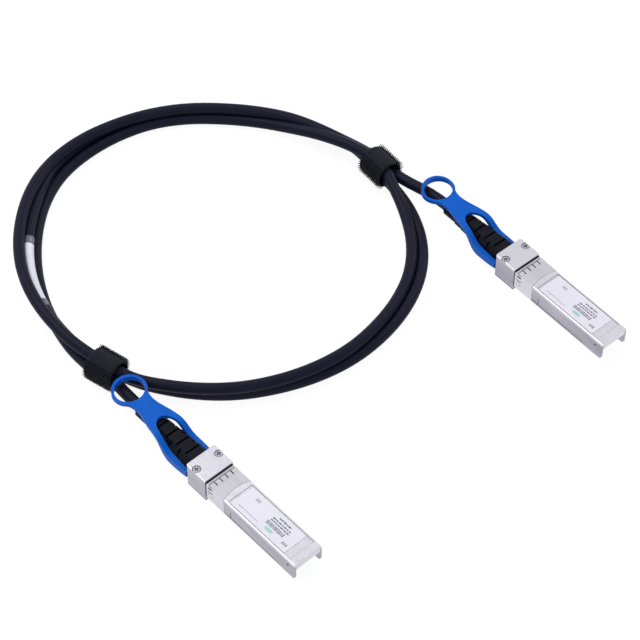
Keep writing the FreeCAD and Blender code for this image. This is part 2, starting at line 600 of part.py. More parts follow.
def circuit_board(name):
    """The paddle board with its two rows of edge contacts."""
    body = new_body(name)
    end = "body_length - board_setback"
    length = f"({end} - board_start)"
    outline = new_sketch(body, f"{name}_outline", "XY_Plane", x=f"board_start + {length} / 2", z=BOARD_UNDER)
    draw_rectangle(outline, length, "board_width")
    pad(body, f"{name}_board", outline, "board_thickness")
    row_start = "-(contact_count - 1) * contact_pitch / 2"
    patterns = []
    for face, height, grow in (("top", f"{BOARD_UNDER} + board_thickness", False),
                               ("under", BOARD_UNDER, True)):
        contact = new_sketch(body, f"{name}_{face}_contact_outline", "XY_Plane",
                             x=f"{end} - contact_length / 2 - contact_width", y=row_start, z=height)
        draw_rectangle(contact, "contact_length", "contact_width")
        first = pad(body, f"{name}_{face}_contact", contact, "contact_thickness")
        first.Reversed = grow
        doc.recompute()
        row = body.newObject("PartDesign::LinearPattern", f"{name}_{face}_contacts")
        row.Originals = [first]
        row.Direction = (contact, ["V_Axis"])
        row.setExpression("Length", bound("(contact_count - 1) * contact_pitch"))
        row.setExpression("Occurrences", bound("contact_count"))
        body.Tip = row
        patterns.append(row)
        doc.recompute()
    return body


def draw_bevelled_rectangle(sketch, width, height, bevel):
    """A rectangle about the sketch's origin, with its corners cut off flat."""
    w, h, c = value(width) / 2, value(height) / 2, value(bevel)
    corners = [Vector(-w + c, h, 0), Vector(w - c, h, 0), Vector(w, h - c, 0), Vector(w, -h + c, 0),
               Vector(w - c, -h, 0), Vector(-w + c, -h, 0), Vector(-w, -h + c, 0), Vector(-w, h - c, 0)]
    for index in range(8):
        sketch.addGeometry(Part.LineSegment(corners[index], corners[(index + 1) % 8]))
    for index in range(8):
        sketch.addConstraint(Sketcher.Constraint("Coincident", index, 2, (index + 1) % 8, 1))
    for line, axis in ((0, -2), (4, -2), (2, -1), (6, -1)):
        sketch.addConstraint(Sketcher.Constraint("Symmetric", line, 1, line, 2, axis))
    flat, upright = f"({width}) - 2 * ({bevel})", f"({height}) - 2 * ({bevel})"
    dimension(sketch, "DistanceX", (0, 1, 0, 2), flat)
    dimension(sketch, "DistanceX", (4, 2, 4, 1), flat)
    dimension(sketch, "DistanceY", (2, 2, 2, 1), upright)
    dimension(sketch, "DistanceY", (6, 1, 6, 2), upright)
    dimension(sketch, "DistanceY", (-1, 1, 0, 1), f"({height}) / 2")
    dimension(sketch, "DistanceY", (4, 1, -1, 1), f"({height}) / 2")
    dimension(sketch, "DistanceX", (-1, 1, 2, 1), f"({width}) / 2")
    dimension(sketch, "DistanceX", (6, 1, -1, 1), f"({width}) / 2")


def boot(name):
    """The moulded strain relief: a flange inside the head, a slotted taper and a plain sleeve."""
    body = new_body(name)

    def section(label_text, place, width, height, bevel):
        sketch = new_sketch(body, f"{name}_{label_text}", "YZ_Plane", y=CORD_AXIS, z=place)
        draw_bevelled_rectangle(sketch, width, height, bevel)
        return sketch
    taper_end = "-head_length - boot_length + boot_sleeve_length"
    wide = section("wide_end", "-head_length", "boot_width", "boot_height", "boot_bevel")
    narrow = section("narrow_end", taper_end, "boot_end_diameter", "boot_end_diameter", "boot_end_bevel")
    taper = body.newObject("PartDesign::AdditiveLoft", f"{name}_taper")
    taper.Profile = wide
    taper.Sections = [narrow]
    taper.Ruled = True
    doc.recompute()
    sleeve = new_sketch(body, f"{name}_sleeve_outline", "YZ_Plane", y=CORD_AXIS,
                        z="-head_length - boot_length")
    draw_circle(sleeve, "boot_end_diameter")
    pad(body, f"{name}_sleeve", sleeve, "boot_sleeve_length")
    neck = section("neck_outline", "-head_length", "boot_neck_width", "boot_neck_height", "edge_radius")
    pad(body, f"{name}_neck", neck, "back_wall")
    flange = section("flange_outline", "-head_length + back_wall", "flange_width", "flange_height",
                     "edge_radius")
    pad(body, f"{name}_flange", flange, "flange_thickness")
    doc.recompute()
    reach = "(boot_width + boot_height)"
    for index in range(int(value("boot_slot_count"))):
        full = f"-head_length - boot_slot_start - {index} * boot_slot_pitch"
        half_way = f"{full} - boot_slot_pitch / 2"
        side = new_sketch(body, f"{name}_side_slots_outline_{index}", "XY_Plane", x=half_way, z=CORD_AXIS)
        draw_side_slots(side, "boot_end_diameter - boot_slot_depth", reach)
        pocket(body, f"{name}_side_slots_{index}", side, reach, midplane=True)
        # The floor of each full slot follows the taper, and one end of the slot is left closed.
        for face, sign, hand in (("top", "+", "+"), ("under", "-", "-")):
            place = f"{hand}({reach} / 2 - boot_width / 2 + boot_slot_land)"
            drop = f"{index} * (boot_height - boot_end_diameter) / 2 / boot_slot_count"
            height = f"{CORD_AXIS} {sign} (boot_height - boot_slot_depth - {drop})"
            slot = new_sketch(body, f"{name}_{face}_slot_outline_{index}", "XZ_Plane", x=full, y=height,
                              z=f"-{place}")
            draw_rectangle(slot, "boot_slot_width", "boot_height")
            pocket(body, f"{name}_{face}_slot_{index}", slot, reach, midplane=True)
    return body


def draw_side_slots(sketch, core, reach):
    """Two rectangles, one on each side of a core of the given width."""
    half_slot, near_edge, far_edge = value("boot_slot_width") / 2, value(core) / 2, value(reach) / 2
    for sign in (-1, 1):
        first = sketch.GeometryCount
        corners = [Vector(-half_slot, sign * near_edge, 0), Vector(half_slot, sign * near_edge, 0),
                   Vector(half_slot, sign * far_edge, 0), Vector(-half_slot, sign * far_edge, 0)]
        for index in range(4):
            sketch.addGeometry(Part.LineSegment(corners[index], corners[(index + 1) % 4]))
        for index in range(4):
            sketch.addConstraint(Sketcher.Constraint("Coincident", first + index, 2,
                                                     first + (index + 1) % 4, 1))
        for index, kind in ((1, "Vertical"), (2, "Horizontal"), (3, "Vertical")):
            sketch.addConstraint(Sketcher.Constraint(kind, first + index))
        sketch.addConstraint(Sketcher.Constraint("Symmetric", first, 1, first, 2, -2))
        dimension(sketch, "DistanceX", (first, 1, first, 2), "boot_slot_width")
        ends = (-1, 1, first, 1) if sign > 0 else (first, 1, -1, 1)
        dimension(sketch, "DistanceY", ends, f"({core}) / 2")
        ends = (-1, 1, first + 2, 1) if sign > 0 else (first + 2, 1, -1, 1)
        dimension(sketch, "DistanceY", ends, f"({reach}) / 2")


def ferrule(name):
    """The crimp ring around the cord's shield."""
    body = new_body(name)
    sketch = new_sketch(body, f"{name}_ring", "YZ_Plane", y=CORD_AXIS, z=FLANGE_FRONT)
    draw_circle(sketch, "ferrule_diameter")
    draw_circle(sketch, "ferrule_diameter - 2 * ferrule_wall")
    pad(body, f"{name}_tube", sketch, "ferrule_length")
    return body


def twinax_pair(name, sign):
    """Two insulated conductors side by side in one foil, from the ferrule to the board."""
    body = new_body(name)
    outline = new_sketch(body, f"{name}_outline", "YZ_Plane", x=f"{sign}pair_spread / 2",
                         y=f"{BOARD_UNDER} + board_thickness + pair_diameter / 2", z=FLANGE_FRONT)
    draw_rounded_rectangle(outline, "2 * pair_diameter", "pair_diameter", "pair_diameter / 2 - fit_gap / 2")
    pad(body, f"{name}_foil", outline, f"board_start + contact_length - {FLANGE_FRONT}")
    return body


def latch_slider(name):
    """The sheet that the tab pulls: ears and bar behind the head, a plate in it, two tines ahead."""
    rear = "(-head_length - slider_rear)"
    side = "slider_width / 2"
    pieces = [slab(f"{name}_plate", rear, "-lug_setback", side, SLIDER_UNDER, SLIDER_TOP)]
    tine_inner = "latch_width / 2 + tine_gap"
    tine_outer = "latch_width / 2 + tine_gap + tine_width"
    tip = f"({LATCH_SHOULDER} + tine_reach)"
    pieces.append(slab(f"{name}_tongue", "-lug_setback - 1", "slider_release / 2", tine_outer, SLIDER_UNDER,
                       SLIDER_TOP))
    for hand, sign in (("left", "-"), ("right", "")):
        def across(inner, outer):
            return (f"{sign}({outer})", f"{sign}({inner})") if sign else (inner, outer)
        pieces.append(prism(f"{name}_tine_{hand}", [
            ("0", SLIDER_UNDER), ("0", SLIDER_TOP), (tip, SLIDER_TOP),
            (f"{tip} - slider_thickness", SLIDER_UNDER)],
            "tine_width / 2", f"{sign}({tine_inner} + tine_width / 2)"))
        pieces.append(block(f"{name}_lug_{hand}", LUG_BACK, "-lug_setback",
                            *across("spring_offset - spring_diameter / 2", side), SLIDER_UNDER,
                            "lug_height"))
        pieces.append(block(f"{name}_ear_{hand}", f"{rear} - ear_length + slider_rear / 2",
                            f"{rear} + slider_rear / 2",
                            *across("slider_width / 2 - slider_thickness", side), SLIDER_UNDER, "ear_height"))
    return fuse(name, pieces)


def return_spring(name, sign):
    """A square-wire spring between the head's rear pocket wall and one of the slider's lugs."""
    wire = value("spring_wire")
    mean = (value("spring_diameter") - wire) / 2
    length = value("spring_pocket_length") - wire
    half = wire / 2
    count = round(8 * value("spring_turns"))
    sections = []
    for step in range(count + 1):
        turn = 2 * math.pi * value("spring_turns") * step / count
        outward = Vector(math.cos(turn), math.sin(turn), 0)
        middle = outward * mean + Z_AXIS * (length * step / count)
        corners = [middle + outward * side + Z_AXIS * rise
                   for side, rise in ((-half, -half), (half, -half), (half, half), (-half, half))]
        sections.append(Part.makePolygon(corners + corners[:1]))
    coil = Part.makeLoft(sections, True, True)
    start = Vector(value(LUG_BACK) - value("spring_pocket_length") + wire / 2,
                   value(f"{sign}spring_offset"), value("spring_height"))
    seat = FreeCAD.Placement(start, FreeCAD.Rotation(Y_AXIS, 90))
    return shaped(name, coil.transformed(seat.toMatrix(), True))


def smooth_outline(points):
    """A closed face between a curve through the points and its mirror image across the plug's middle."""
    upper = Part.BSplineCurve()
    upper.interpolate([Vector(x, y, 0) for x, y in points])
    lower = Part.BSplineCurve()
    lower.interpolate([Vector(x, -y, 0) for x, y in points])
    edges = [upper.toShape(), lower.toShape()]
    for end in (0, -1):
        x, y = points[end]
        if y > 1e-6:
            edges.append(Part.makeLine(Vector(x, y, 0), Vector(x, -y, 0)))
    return Part.Face(Part.Wire(Part.__sortEdges__(edges)))


def ellipse_face(center_x, along, across):
    """An ellipse in the XY plane; Part wants its longer half first, so it may be turned."""
    if along >= across:
        curve = Part.Ellipse(Vector(center_x, 0, 0), along, across)
    else:
        curve = Part.Ellipse(Vector(center_x, across, 0), Vector(center_x + along, 0, 0),
                             Vector(center_x, 0, 0))
    return Part.Face(Part.Wire([curve.toShape()]))


def pull_tab(name):
    """The moulded tab: two arms beside the boot, a flat neck over it and a finger ring behind."""
    back = -value("head_length")
    front = back - value("tab_gap")
    far = back - value("tab_length")
    ring_middle = far + value("ring_length") / 2
    half, front_half = value("tab_width") / 2, value("tab_front_width") / 2
    neck_half = value("tab_neck_width") / 2
    window_end = back - value("tab_window_length")
    neck_place = ring_middle + value("ring_length") / 2 + value("tab_plate_thickness")
    widest = back - value("boot_length") / 3
    shoulder = (window_end + widest) / 2
    outer = [(front, front_half), (widest, half), (shoulder, half - value("ring_band") / 2),
             (window_end, (half + neck_half) / 2), (neck_place, neck_half),
             (ring_middle + value("ring_length") / 3, neck_half + value("ring_band"))]
    # The window follows the boot's taper, a little clear of it, and ends round.
    taper = (value("boot_width") - value("boot_end_diameter")) / 2
    taper_length = value("boot_length") - value("boot_sleeve_length")

    def beside_boot(x):
        return value("boot_width") / 2 - taper * (back - x) / taper_length + value("tab_side_gap")
    blunt = window_end + value("tab_window_nose")
    along_boot = [front + 1, (front + widest) / 2, widest, shoulder]
    window = [(x, beside_boot(x)) for x in along_boot]
    window += [(blunt, beside_boot(shoulder) * 0.8),
              (window_end + (blunt - window_end) / 4, beside_boot(shoulder) * 0.42), (window_end, 0)]
    plan = smooth_outline(outer).cut(smooth_outline(window))

    under = value(CORD_AXIS) + value("boot_end_diameter") / 2 + value("tab_clearance")
    plate = value("tab_plate_thickness")
    low, arm_height = value("tab_arm_bottom"), value("tab_arm_height")
    ramp_start, ramp_end = widest + arm_height / 2, window_end + 2 * plate
    middle = (ramp_start + ramp_end) / 2

    def ramp(start_height, end_height, shift):
        curve = Part.BSplineCurve()
        curve.buildFromPoles([Vector(ramp_start + shift, 0, start_height),
                              Vector(middle + shift, 0, start_height),
                              Vector(middle + shift, 0, end_height),
                              Vector(ramp_end + shift, 0, end_height)])
        return curve.toShape()
    rim = far - 1
    lower = ramp(low, under, 0)
    upper = ramp(low + arm_height, under + plate, plate / 2)
    edges = [lower, upper,
             Part.makeLine(Vector(front + 1, 0, low), Vector(ramp_start, 0, low)),
             Part.makeLine(Vector(front + 1, 0, low + arm_height),
                           Vector(ramp_start + plate / 2, 0, low + arm_height)),
             Part.makeLine(Vector(front + 1, 0, low), Vector(front + 1, 0, low + arm_height)),
             Part.makeLine(Vector(ramp_end, 0, under), Vector(rim, 0, under)),
             Part.makeLine(Vector(ramp_end + plate / 2, 0, under + plate), Vector(rim, 0, under + plate)),
             Part.makeLine(Vector(rim, 0, under), Vector(rim, 0, under + plate))]
    profile = Part.Face(Part.Wire(Part.__sortEdges__(edges)))
    strip = profile.extrude(Vector(0, 4 * half, 0))
    strip.translate(Vector(0, -2 * half, 0))
    tall = value("head_height") * 2
    arms_and_neck = plan.extrude(Vector(0, 0, tall)).common(strip)

    band = value("ring_band")
    ring_outer = ellipse_face(ring_middle, value("ring_length") / 2, value("ring_width") / 2)
    ring_inner = ellipse_face(ring_middle, value("ring_length") / 2 - band, value("ring_width") / 2 - band)
    ring_under = under + plate - value("ring_height")
    rise = value("ring_end_height") - value("ring_height")
    near_x, far_x = ring_middle + value("ring_length"), far - 1
    slope = [Vector(near_x, 0, ring_under), Vector(far_x, 0, ring_under),
             Vector(far_x, 0, under + plate + rise), Vector(ring_middle, 0, under + plate),
             Vector(near_x, 0, under + plate)]
    wedge = Part.Face(Part.makePolygon(slope + slope[:1])).extrude(Vector(0, 4 * half, 0))
    wedge.translate(Vector(0, -2 * half, 0))
    ring = ring_outer.extrude(Vector(0, 0, tall)).common(wedge)
    hole = ring_inner.extrude(Vector(0, 0, tall))
    body = arms_and_neck.fuse(ring).cut(hole)

    ear_back = back - value("slider_rear") / 2 - value("ear_length")
    ear_out = value("slider_width") / 2
    ear_in = ear_out - value("slider_thickness")
    for sign in (-1, 1):
        slot = Part.makeBox(value("ear_length") + value("tab_length"), ear_out - ear_in,
                            value("ear_height"), Vector(ear_back, ear_in, 0))
        if sign < 0:
            slot = slot.mirror(Vector(0, 0, 0), Y_AXIS)
        body = body.cut(slot)
    return shaped(name, body.removeSplitter())


# ------------------------------------------------------------------ the cord

# The bundle around the coil: angle in degrees, radius of its middle, width, height and underside.
BUNDLE = [
    (0, 79.5, 10.0, 6.0, 0.3), (30, 82.0, 10.0, 6.2, 0.3), (52, 81.2, 9.8, 8.0, 0.6),
    (78.7, 78.2, 9.4, 9.8, 1.7), (94, 75.6, 10.6, 11.6, 0.6), (112, 74.4, 11.0, 9.8, 0.3),
    (135, 73.4, 11.2, 8.8, 0.3), (165, 77.2, 11.2, 8.6, 0.3), (195, 80.8, 12.8, 8.0, 0.3),
    (225, 78.6, 13.0, 8.2, 0.3), (248, 77.8, 11.4, 9.8, 0.3), (264, 78.8, 9.6, 11.0, 0.6),
    (281, 80.6, 8.8, 8.8, 2.0), (286.5, 80.8, 8.8, 8.4, 2.1), (292, 80.5, 8.8, 7.2, 1.6),
    (300, 79.4, 9.0, 7.4, 0.8), (330, 77.8, 9.4, 6.4, 0.3),
]


def bundle(angle):
    """Radius, width, height and underside of the bundle: a smooth curve through the places above."""
    place = angle % 360
    count = len(BUNDLE)
    index = max(i for i in range(count) if BUNDLE[i][0] <= place)
    rows = []
    for step in range(-1, 3):
        lap, row = divmod(index + step, count)
        rows.append((BUNDLE[row][0] + 360 * lap, *BUNDLE[row][1:]))
    before, start, end, after = rows
    length = end[0] - start[0]
    share = (place - start[0]) / length
    result = []
    for column in range(1, 5):
        slope_start = (end[column] - before[column]) / (end[0] - before[0]) * length
        slope_end = (after[column] - start[column]) / (after[0] - start[0]) * length
        result.append((2 * share ** 3 - 3 * share ** 2 + 1) * start[column]
                      + (share ** 3 - 2 * share ** 2 + share) * slope_start
                      + (3 * share ** 2 - 2 * share ** 3) * end[column]
                      + (share ** 3 - share ** 2) * slope_end)
    return result


def coil_point(angle, swell=1.0):
    """The middle of the bundle at an angle around the coil."""
    radius, _, height, under = bundle(angle)
    return Vector(value("coil_center_x") + radius * swell * math.cos(math.radians(angle)),
                  value("coil_center_y") + radius * swell * math.sin(math.radians(angle)),
                  under + height / 2)


def many_sided(middle, sideways, upward):
    """A closed twelve-sided outline about a point, reaching as far as the two given directions."""
    turns = [math.radians(30 * step) for step in range(12)]
    ring = [middle + sideways * math.cos(turn) + upward * math.sin(turn) for turn in turns]
    return Part.makePolygon(ring + ring[:1])


def cable_coil(name):
    """One closed solid of the bundle's outer shape: a ruled skin through outlines around the coil."""
    outlines = []
    for step in range(48):
        angle = step * 7.5
        _, width, height, _ = bundle(angle)
        outward = Vector(math.cos(math.radians(angle)), math.sin(math.radians(angle)), 0)
        outlines.append(many_sided(coil_point(angle), outward * (width / 2), Z_AXIS * (height / 2)))
    solid = Part.makeLoft(outlines, True, True, True)
    if solid.Volume < 0:
        solid.reverse()
    return shaped(name, solid)


def round_route(points):
    """Straight runs joined by tangent arcs, each arc as large as its two runs allow."""
    edges = []
    start = points[0]
    for before, corner, after in zip(points, points[1:], points[2:]):
        back, ahead = before - corner, after - corner
        half_turn = (math.pi - back.getAngle(ahead)) / 2
        reach = 0.45 * min(back.Length, ahead.Length)
        radius = reach / math.tan(half_turn)
        print(f"  arc radius {radius:.1f} mm, {radius / value('cord_diameter'):.1f} diameters")
        first = corner + back.normalize() * reach
        last = corner + ahead.normalize() * reach
        inward = (back + ahead).normalize()
        hub = corner + inward * (radius / math.cos(half_turn))
        middle = hub - inward * radius
        edges.append(Part.LineSegment(start, first).toShape())
        edges.append(Part.Arc(first, middle, last).toShape())
        start = last
    edges.append(Part.LineSegment(start, points[-1]).toShape())
    return Part.Wire(edges)


def cable_tail(name, points):
    """A plain tube along a route; its volume has to be its section times its length."""
    print(name)
    route = round_route(points)
    heading = (points[1] - points[0]).normalize()
    radius = value("cord_diameter") / 2
    outline = many_sided(points[0], Z_AXIS.cross(heading) * radius, Z_AXIS * radius)
    tube = route.makePipeShell([outline], True, False)
    expected = Part.Face(outline).Area * route.Length
    if abs(tube.Volume / expected - 1) > 0.01:
        raise ValueError(f"{name}: volume {tube.Volume:.1f}, expected {expected:.1f}")
    return shaped(name, tube)


def tie_place(end):
    """Where a tie's middle lies and which way its own X axis points: along the cord, off the plug."""
    middle = coil_point(value(f"tie_{end}_angle"))
    middle.z = value("tie_diameter") / 2
    return FreeCAD.Placement(middle, FreeCAD.Rotation(Z_AXIS, value(f"tie_{end}_heading")))


def tie(name):
    """A strap wound around the bundle: a round sleeve, straight along the cord."""
    body = new_body(name)
    outline = new_sketch(body, f"{name}_outline", "YZ_Plane")
    draw_circle(outline, "tie_diameter")
    pad(body, f"{name}_strap", outline, "tie_length", midplane=True)
    opening = new_sketch(body, f"{name}_opening_outline", "YZ_Plane")
    draw_circle(opening, "tie_diameter - 2 * tie_thickness")
    pocket(body, f"{name}_opening", opening, "2 * tie_length", midplane=True)
    return body


def strand_tube(name, length, inner, outer):
    """A thin tube along the coil's middle strand: a ring turned about the coil's middle."""
    sweep = math.degrees(value(length) / value("wrap_radius"))
    middle = Vector(value("wrap_radius"), 0, 0)
    outside, inside = (Part.Face(many_sided(middle, X_AXIS * radius, Z_AXIS * radius))
                       for radius in (value(outer), value(inner)))
    tube = outside.cut(inside).revolve(Vector(), Z_AXIS, sweep).Solids[0]
    center = Vector(value("coil_center_x"), value("coil_center_y"), value("wrap_height"))
    start = value("wrap_angle") - sweep / 2
    return shaped(name, tube), FreeCAD.Placement(center, FreeCAD.Rotation(Z_AXIS, start))


# ------------------------------------------------------------------ the whole cable

PLUG_PIECES = [
    ("housing_base", housing_base), ("housing_cover", housing_cover), ("emi_collar", emi_collar),
    ("label", label), ("circuit_board", circuit_board), ("boot", boot), ("ferrule", ferrule),
    ("latch_slider", latch_slider), ("pull_tab", pull_tab),
]
for hand, hand_sign in (("left", "-"), ("right", "")):
    for piece, build in (("screw", screw), ("twinax_pair", twinax_pair), ("return_spring", return_spring)):
        PLUG_PIECES.append((f"{piece}_{hand}", lambda name, build=build, sign=hand_sign: build(name, sign)))
PLUG_PLACES = {
    "b": FreeCAD.Placement(),
    "a": FreeCAD.Placement(Vector(value("plug_a_forward"), value("plug_a_aside"), 0),
                           FreeCAD.Rotation(Z_AXIS, value("plug_a_turn"))),
}

nodes = {}
places = {}
plug_box = FreeCAD.BoundBox()
for end, place in PLUG_PLACES.items():
    for piece, build in PLUG_PIECES:
        node = f"{piece}_{end}"
        nodes[node] = build(node)
        doc.recompute()
        places[node] = place
        placed = nodes[node].Shape.copy()
        placed.Placement = place.multiply(placed.Placement)
        plug_box.add(placed.optimalBoundingBox(False))
origin = Vector(-plug_box.Center.x, -plug_box.Center.y, -plug_box.ZMin)

nodes["cable_coil"] = cable_coil("cable_coil")
places["cable_coil"] = FreeCAD.Placement()
boot_end = Vector(-value("head_length") - value("boot_length"), 0, value(CORD_AXIS))
room = value("tie_diameter / 2 - tie_thickness - tie_gap - cord_diameter / 2")
seat_angle = math.radians(value("tail_seat"))
aside, below = room * math.cos(seat_angle), room * math.sin(seat_angle)
for end, outer_side in (("a", -1), ("b", 1)):
    # Straight back out of the boot, across, and into the tie beside the other strands.
    exit_point = PLUG_PLACES[end].multVec(boot_end)
    backwards = PLUG_PLACES[end].Rotation.multVec(X_AXIS) * -1
    strap = tie_place(end)
    approach = value(f"tail_{end}_approach")
    route = [exit_point, exit_point + backwards * value("tail_straight"),
             strap.multVec(Vector(-approach, outer_side * aside, -below)),
             strap.multVec(Vector(value("tie_length") / 4, outer_side * aside, -below))]
    nodes[f"cable_tail_{end}"] = cable_tail(f"cable_tail_{end}", route)
    places[f"cable_tail_{end}"] = FreeCAD.Placement()
    nodes[f"tie_{end}"], places[f"tie_{end}"] = tie(f"tie_{end}"), strap
jacket = "cord_diameter / 2"
for node, length, inner, outer in (
        ("cable_label", "wrap_length", jacket, f"{jacket} + wrap_thickness"),
        ("label_sleeve", "sleeve_length", f"{jacket} + wrap_thickness",
         f"{jacket} + wrap_thickness + sleeve_thickness")):
    nodes[node], places[node] = strand_tube(node, length, inner, outer)
doc.recompute()

for node, feature in nodes.items():
    place = places[node]
    feature.Placement = FreeCAD.Placement(place.Base + origin, place.Rotation)
    feature.Label = node
doc.recompute()

# ------------------------------------------------------------------ checks and files

for item in doc.Objects:
    if "Invalid" in item.State or "Error" in item.State:
        raise RuntimeError(f"{item.Name} did not build: {item.State}")
for node, feature in nodes.items():
    if feature.Shape.isNull() or not feature.Shape.isValid():
        raise RuntimeError(f"{node} has no valid shape")
os.makedirs("parts", exist_ok=True)
for node, feature in nodes.items():
    feature.Shape.exportStep(os.path.join("parts", f"{node}.step"))
    box = feature.Shape.BoundBox
    print(f"{node:18s} {len(feature.Shape.Solids)} solid(s) {feature.Shape.Volume:9.1f} mm3  "
          f"x {box.XMin:7.1f} {box.XMax:7.1f}  y {box.YMin:7.1f} {box.YMax:7.1f}  "
          f"z {box.ZMin:5.1f} {box.ZMax:5.1f}")
print(f"{len(nodes)} nodes")
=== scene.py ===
import math
import bpy
import numpy as np
from mathutils import Matrix, Vector


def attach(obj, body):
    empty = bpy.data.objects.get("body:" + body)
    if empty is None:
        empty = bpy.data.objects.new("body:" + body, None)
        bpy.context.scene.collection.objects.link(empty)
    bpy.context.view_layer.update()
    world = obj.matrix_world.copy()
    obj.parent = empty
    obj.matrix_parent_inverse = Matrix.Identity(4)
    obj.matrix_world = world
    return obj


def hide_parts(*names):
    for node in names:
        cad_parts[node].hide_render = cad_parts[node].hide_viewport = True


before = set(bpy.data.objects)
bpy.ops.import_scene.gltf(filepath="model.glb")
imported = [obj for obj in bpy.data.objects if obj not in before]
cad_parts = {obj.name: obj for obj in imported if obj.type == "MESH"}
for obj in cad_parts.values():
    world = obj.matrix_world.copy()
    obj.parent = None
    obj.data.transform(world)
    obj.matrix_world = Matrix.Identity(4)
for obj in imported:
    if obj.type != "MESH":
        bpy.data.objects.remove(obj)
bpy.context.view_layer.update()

MM = 0.001


# ------------------------------------------------------------------ places
# Lengths in millimetres and angles in degrees, in the part's frame unless a comment says otherwise.

# Each plug has a frame of its own: X = 0 at its head's front face, X towards its nose, Z = 0 on the
# table. Given here: where that frame's origin lies, and how far it is turned.
PLUG_A = ((6.77, 79.55), -1.67)
PLUG_B = ((3.1, -81.05), 0.0)
# The cord leaves each boot this far behind the head's front face, with its middle this high.
BOOT_END = 46.0
CORD_AXIS = 5.95
CORD_DIAMETER = 4.85
COIL_CENTER = np.array([-90.4, -1.55])
TIE_WIDTH = 12.5
TIE_MIDDLE_HEIGHT = 6.6


def plug_matrix(plug):
    """The plug's frame in the part's frame: a turn about Z and a shift, in millimetres."""
    (x, y), turn = plug
    return Matrix.Translation((x, y, 0)) @ Matrix.Rotation(math.radians(turn), 4, "Z")


def placed(points, matrix):
    """Millimetre points of a plug's or a tie's frame as metres in the part's frame."""
    m = np.array(matrix)
    return (np.asarray(points, float) @ m[:3, :3].T + m[:3, 3]) * MM


def around_coil(angle, radius):
    """The point at an angle around the coil's middle and at a distance from it."""
    turn = math.radians(angle)
    return COIL_CENTER + radius * np.array([math.cos(turn), math.sin(turn)])


# Each tie's middle, and the direction in which the cord runs through it.
TIE_A = (around_coil(78.7, 78.2), 175.0)
TIE_B = (around_coil(286.5, 80.8), 193.0)


# ------------------------------------------------------------------ camera, lamps and floor

def rgb(code):
    """An sRGB hex colour as linear red, green, blue and a full alpha."""
    parts = [int(code[i:i + 2], 16) / 255 for i in (1, 3, 5)]
    return [p / 12.92 if p <= 0.04045 else ((p + 0.055) / 1.055) ** 2.4 for p in parts] + [1.0]


def add(tree, kind, settings=None, inputs=None):
    """Adds a node. settings are its properties; inputs are values, or sockets to link from."""
    node = tree.nodes.new(kind)
    for key, what in (settings or {}).items():
        setattr(node, key, what)
    for key, what in (inputs or {}).items():
        socket = node.inputs[key]
        if isinstance(what, bpy.types.NodeSocket):
            tree.links.new(what, socket)
        else:
            socket.default_value = what
    return node


CAMERA_PLACE = (0.4123, -0.40655, 0.7308)  # metres
AZIMUTH, ELEVATION, ROLL = (math.radians(angle) for angle in (47.409, 50.339, 0.552))
level_right = Vector((math.cos(AZIMUTH), math.sin(AZIMUTH), 0))
ahead = Vector((-math.sin(AZIMUTH) * math.cos(ELEVATION),
                math.cos(AZIMUTH) * math.cos(ELEVATION),
                -math.sin(ELEVATION)))
level_up = level_right.cross(ahead)
camera_right = level_right * math.cos(ROLL) + level_up * math.sin(ROLL)
camera_up = level_up * math.cos(ROLL) - level_right * math.sin(ROLL)
camera_data = bpy.data.cameras.new("camera")
camera_data.sensor_width = 36.0
camera_data.lens = 132.85
camera_data.clip_start, camera_data.clip_end = 0.05, 20
camera = bpy.data.objects.new("camera", camera_data)
camera.matrix_world = Matrix((
    (camera_right.x, camera_up.x, -ahead.x, CAMERA_PLACE[0]),
    (camera_right.y, camera_up.y, -ahead.y, CAMERA_PLACE[1]),
    (camera_right.z, camera_up.z, -ahead.z, CAMERA_PLACE[2]),
    (0, 0, 0, 1)))
bpy.context.scene.collection.objects.link(camera)
bpy.context.scene.camera = camera
bpy.context.scene.view_settings.view_transform = "Standard"


def lamp(name, place, target, size, power):
    """A square soft box that points at a target; lengths in metres, power in watts."""
    data = bpy.data.lights.new(name, "AREA")
    data.shape = "SQUARE"
    data.size, data.energy = size, power
    box = bpy.data.objects.new(name, data)
    aim = (Vector(target) - Vector(place)).to_track_quat("-Z", "Y")
    box.matrix_world = Matrix.Translation(place) @ aim.to_matrix().to_4x4()
    bpy.context.scene.collection.objects.link(box)


lamp("key_softbox", (-0.9, -0.2, 1.5), (-0.05, 0, 0), 0.9, 13)
lamp("fill_softbox", (1.0, -1.2, 0.8), (-0.03, 0, 0), 0.8, 3.2)
lamp("back_softbox", (-0.1, 1.4, 0.7), (-0.03, 0, 0), 0.7, 4.5)


def looked_at(tree):
    """1 where a surface is looked at, directly, in metal or through film; 0 where it only gives
    light."""
    path = add(tree, "ShaderNodeLightPath")
    direct = add(tree, "ShaderNodeMath", {"operation": "MAXIMUM"},
                 {0: path.outputs["Is Camera Ray"], 1: path.outputs["Is Glossy Ray"]})
    return add(tree, "ShaderNodeMath", {"operation": "MAXIMUM"},
               {0: direct.outputs[0], 1: path.outputs["Is Transmission Ray"]}).outputs[0]


world = bpy.data.worlds.new("studio_room")
world.use_nodes = True
room = world.node_tree
room.nodes.clear()
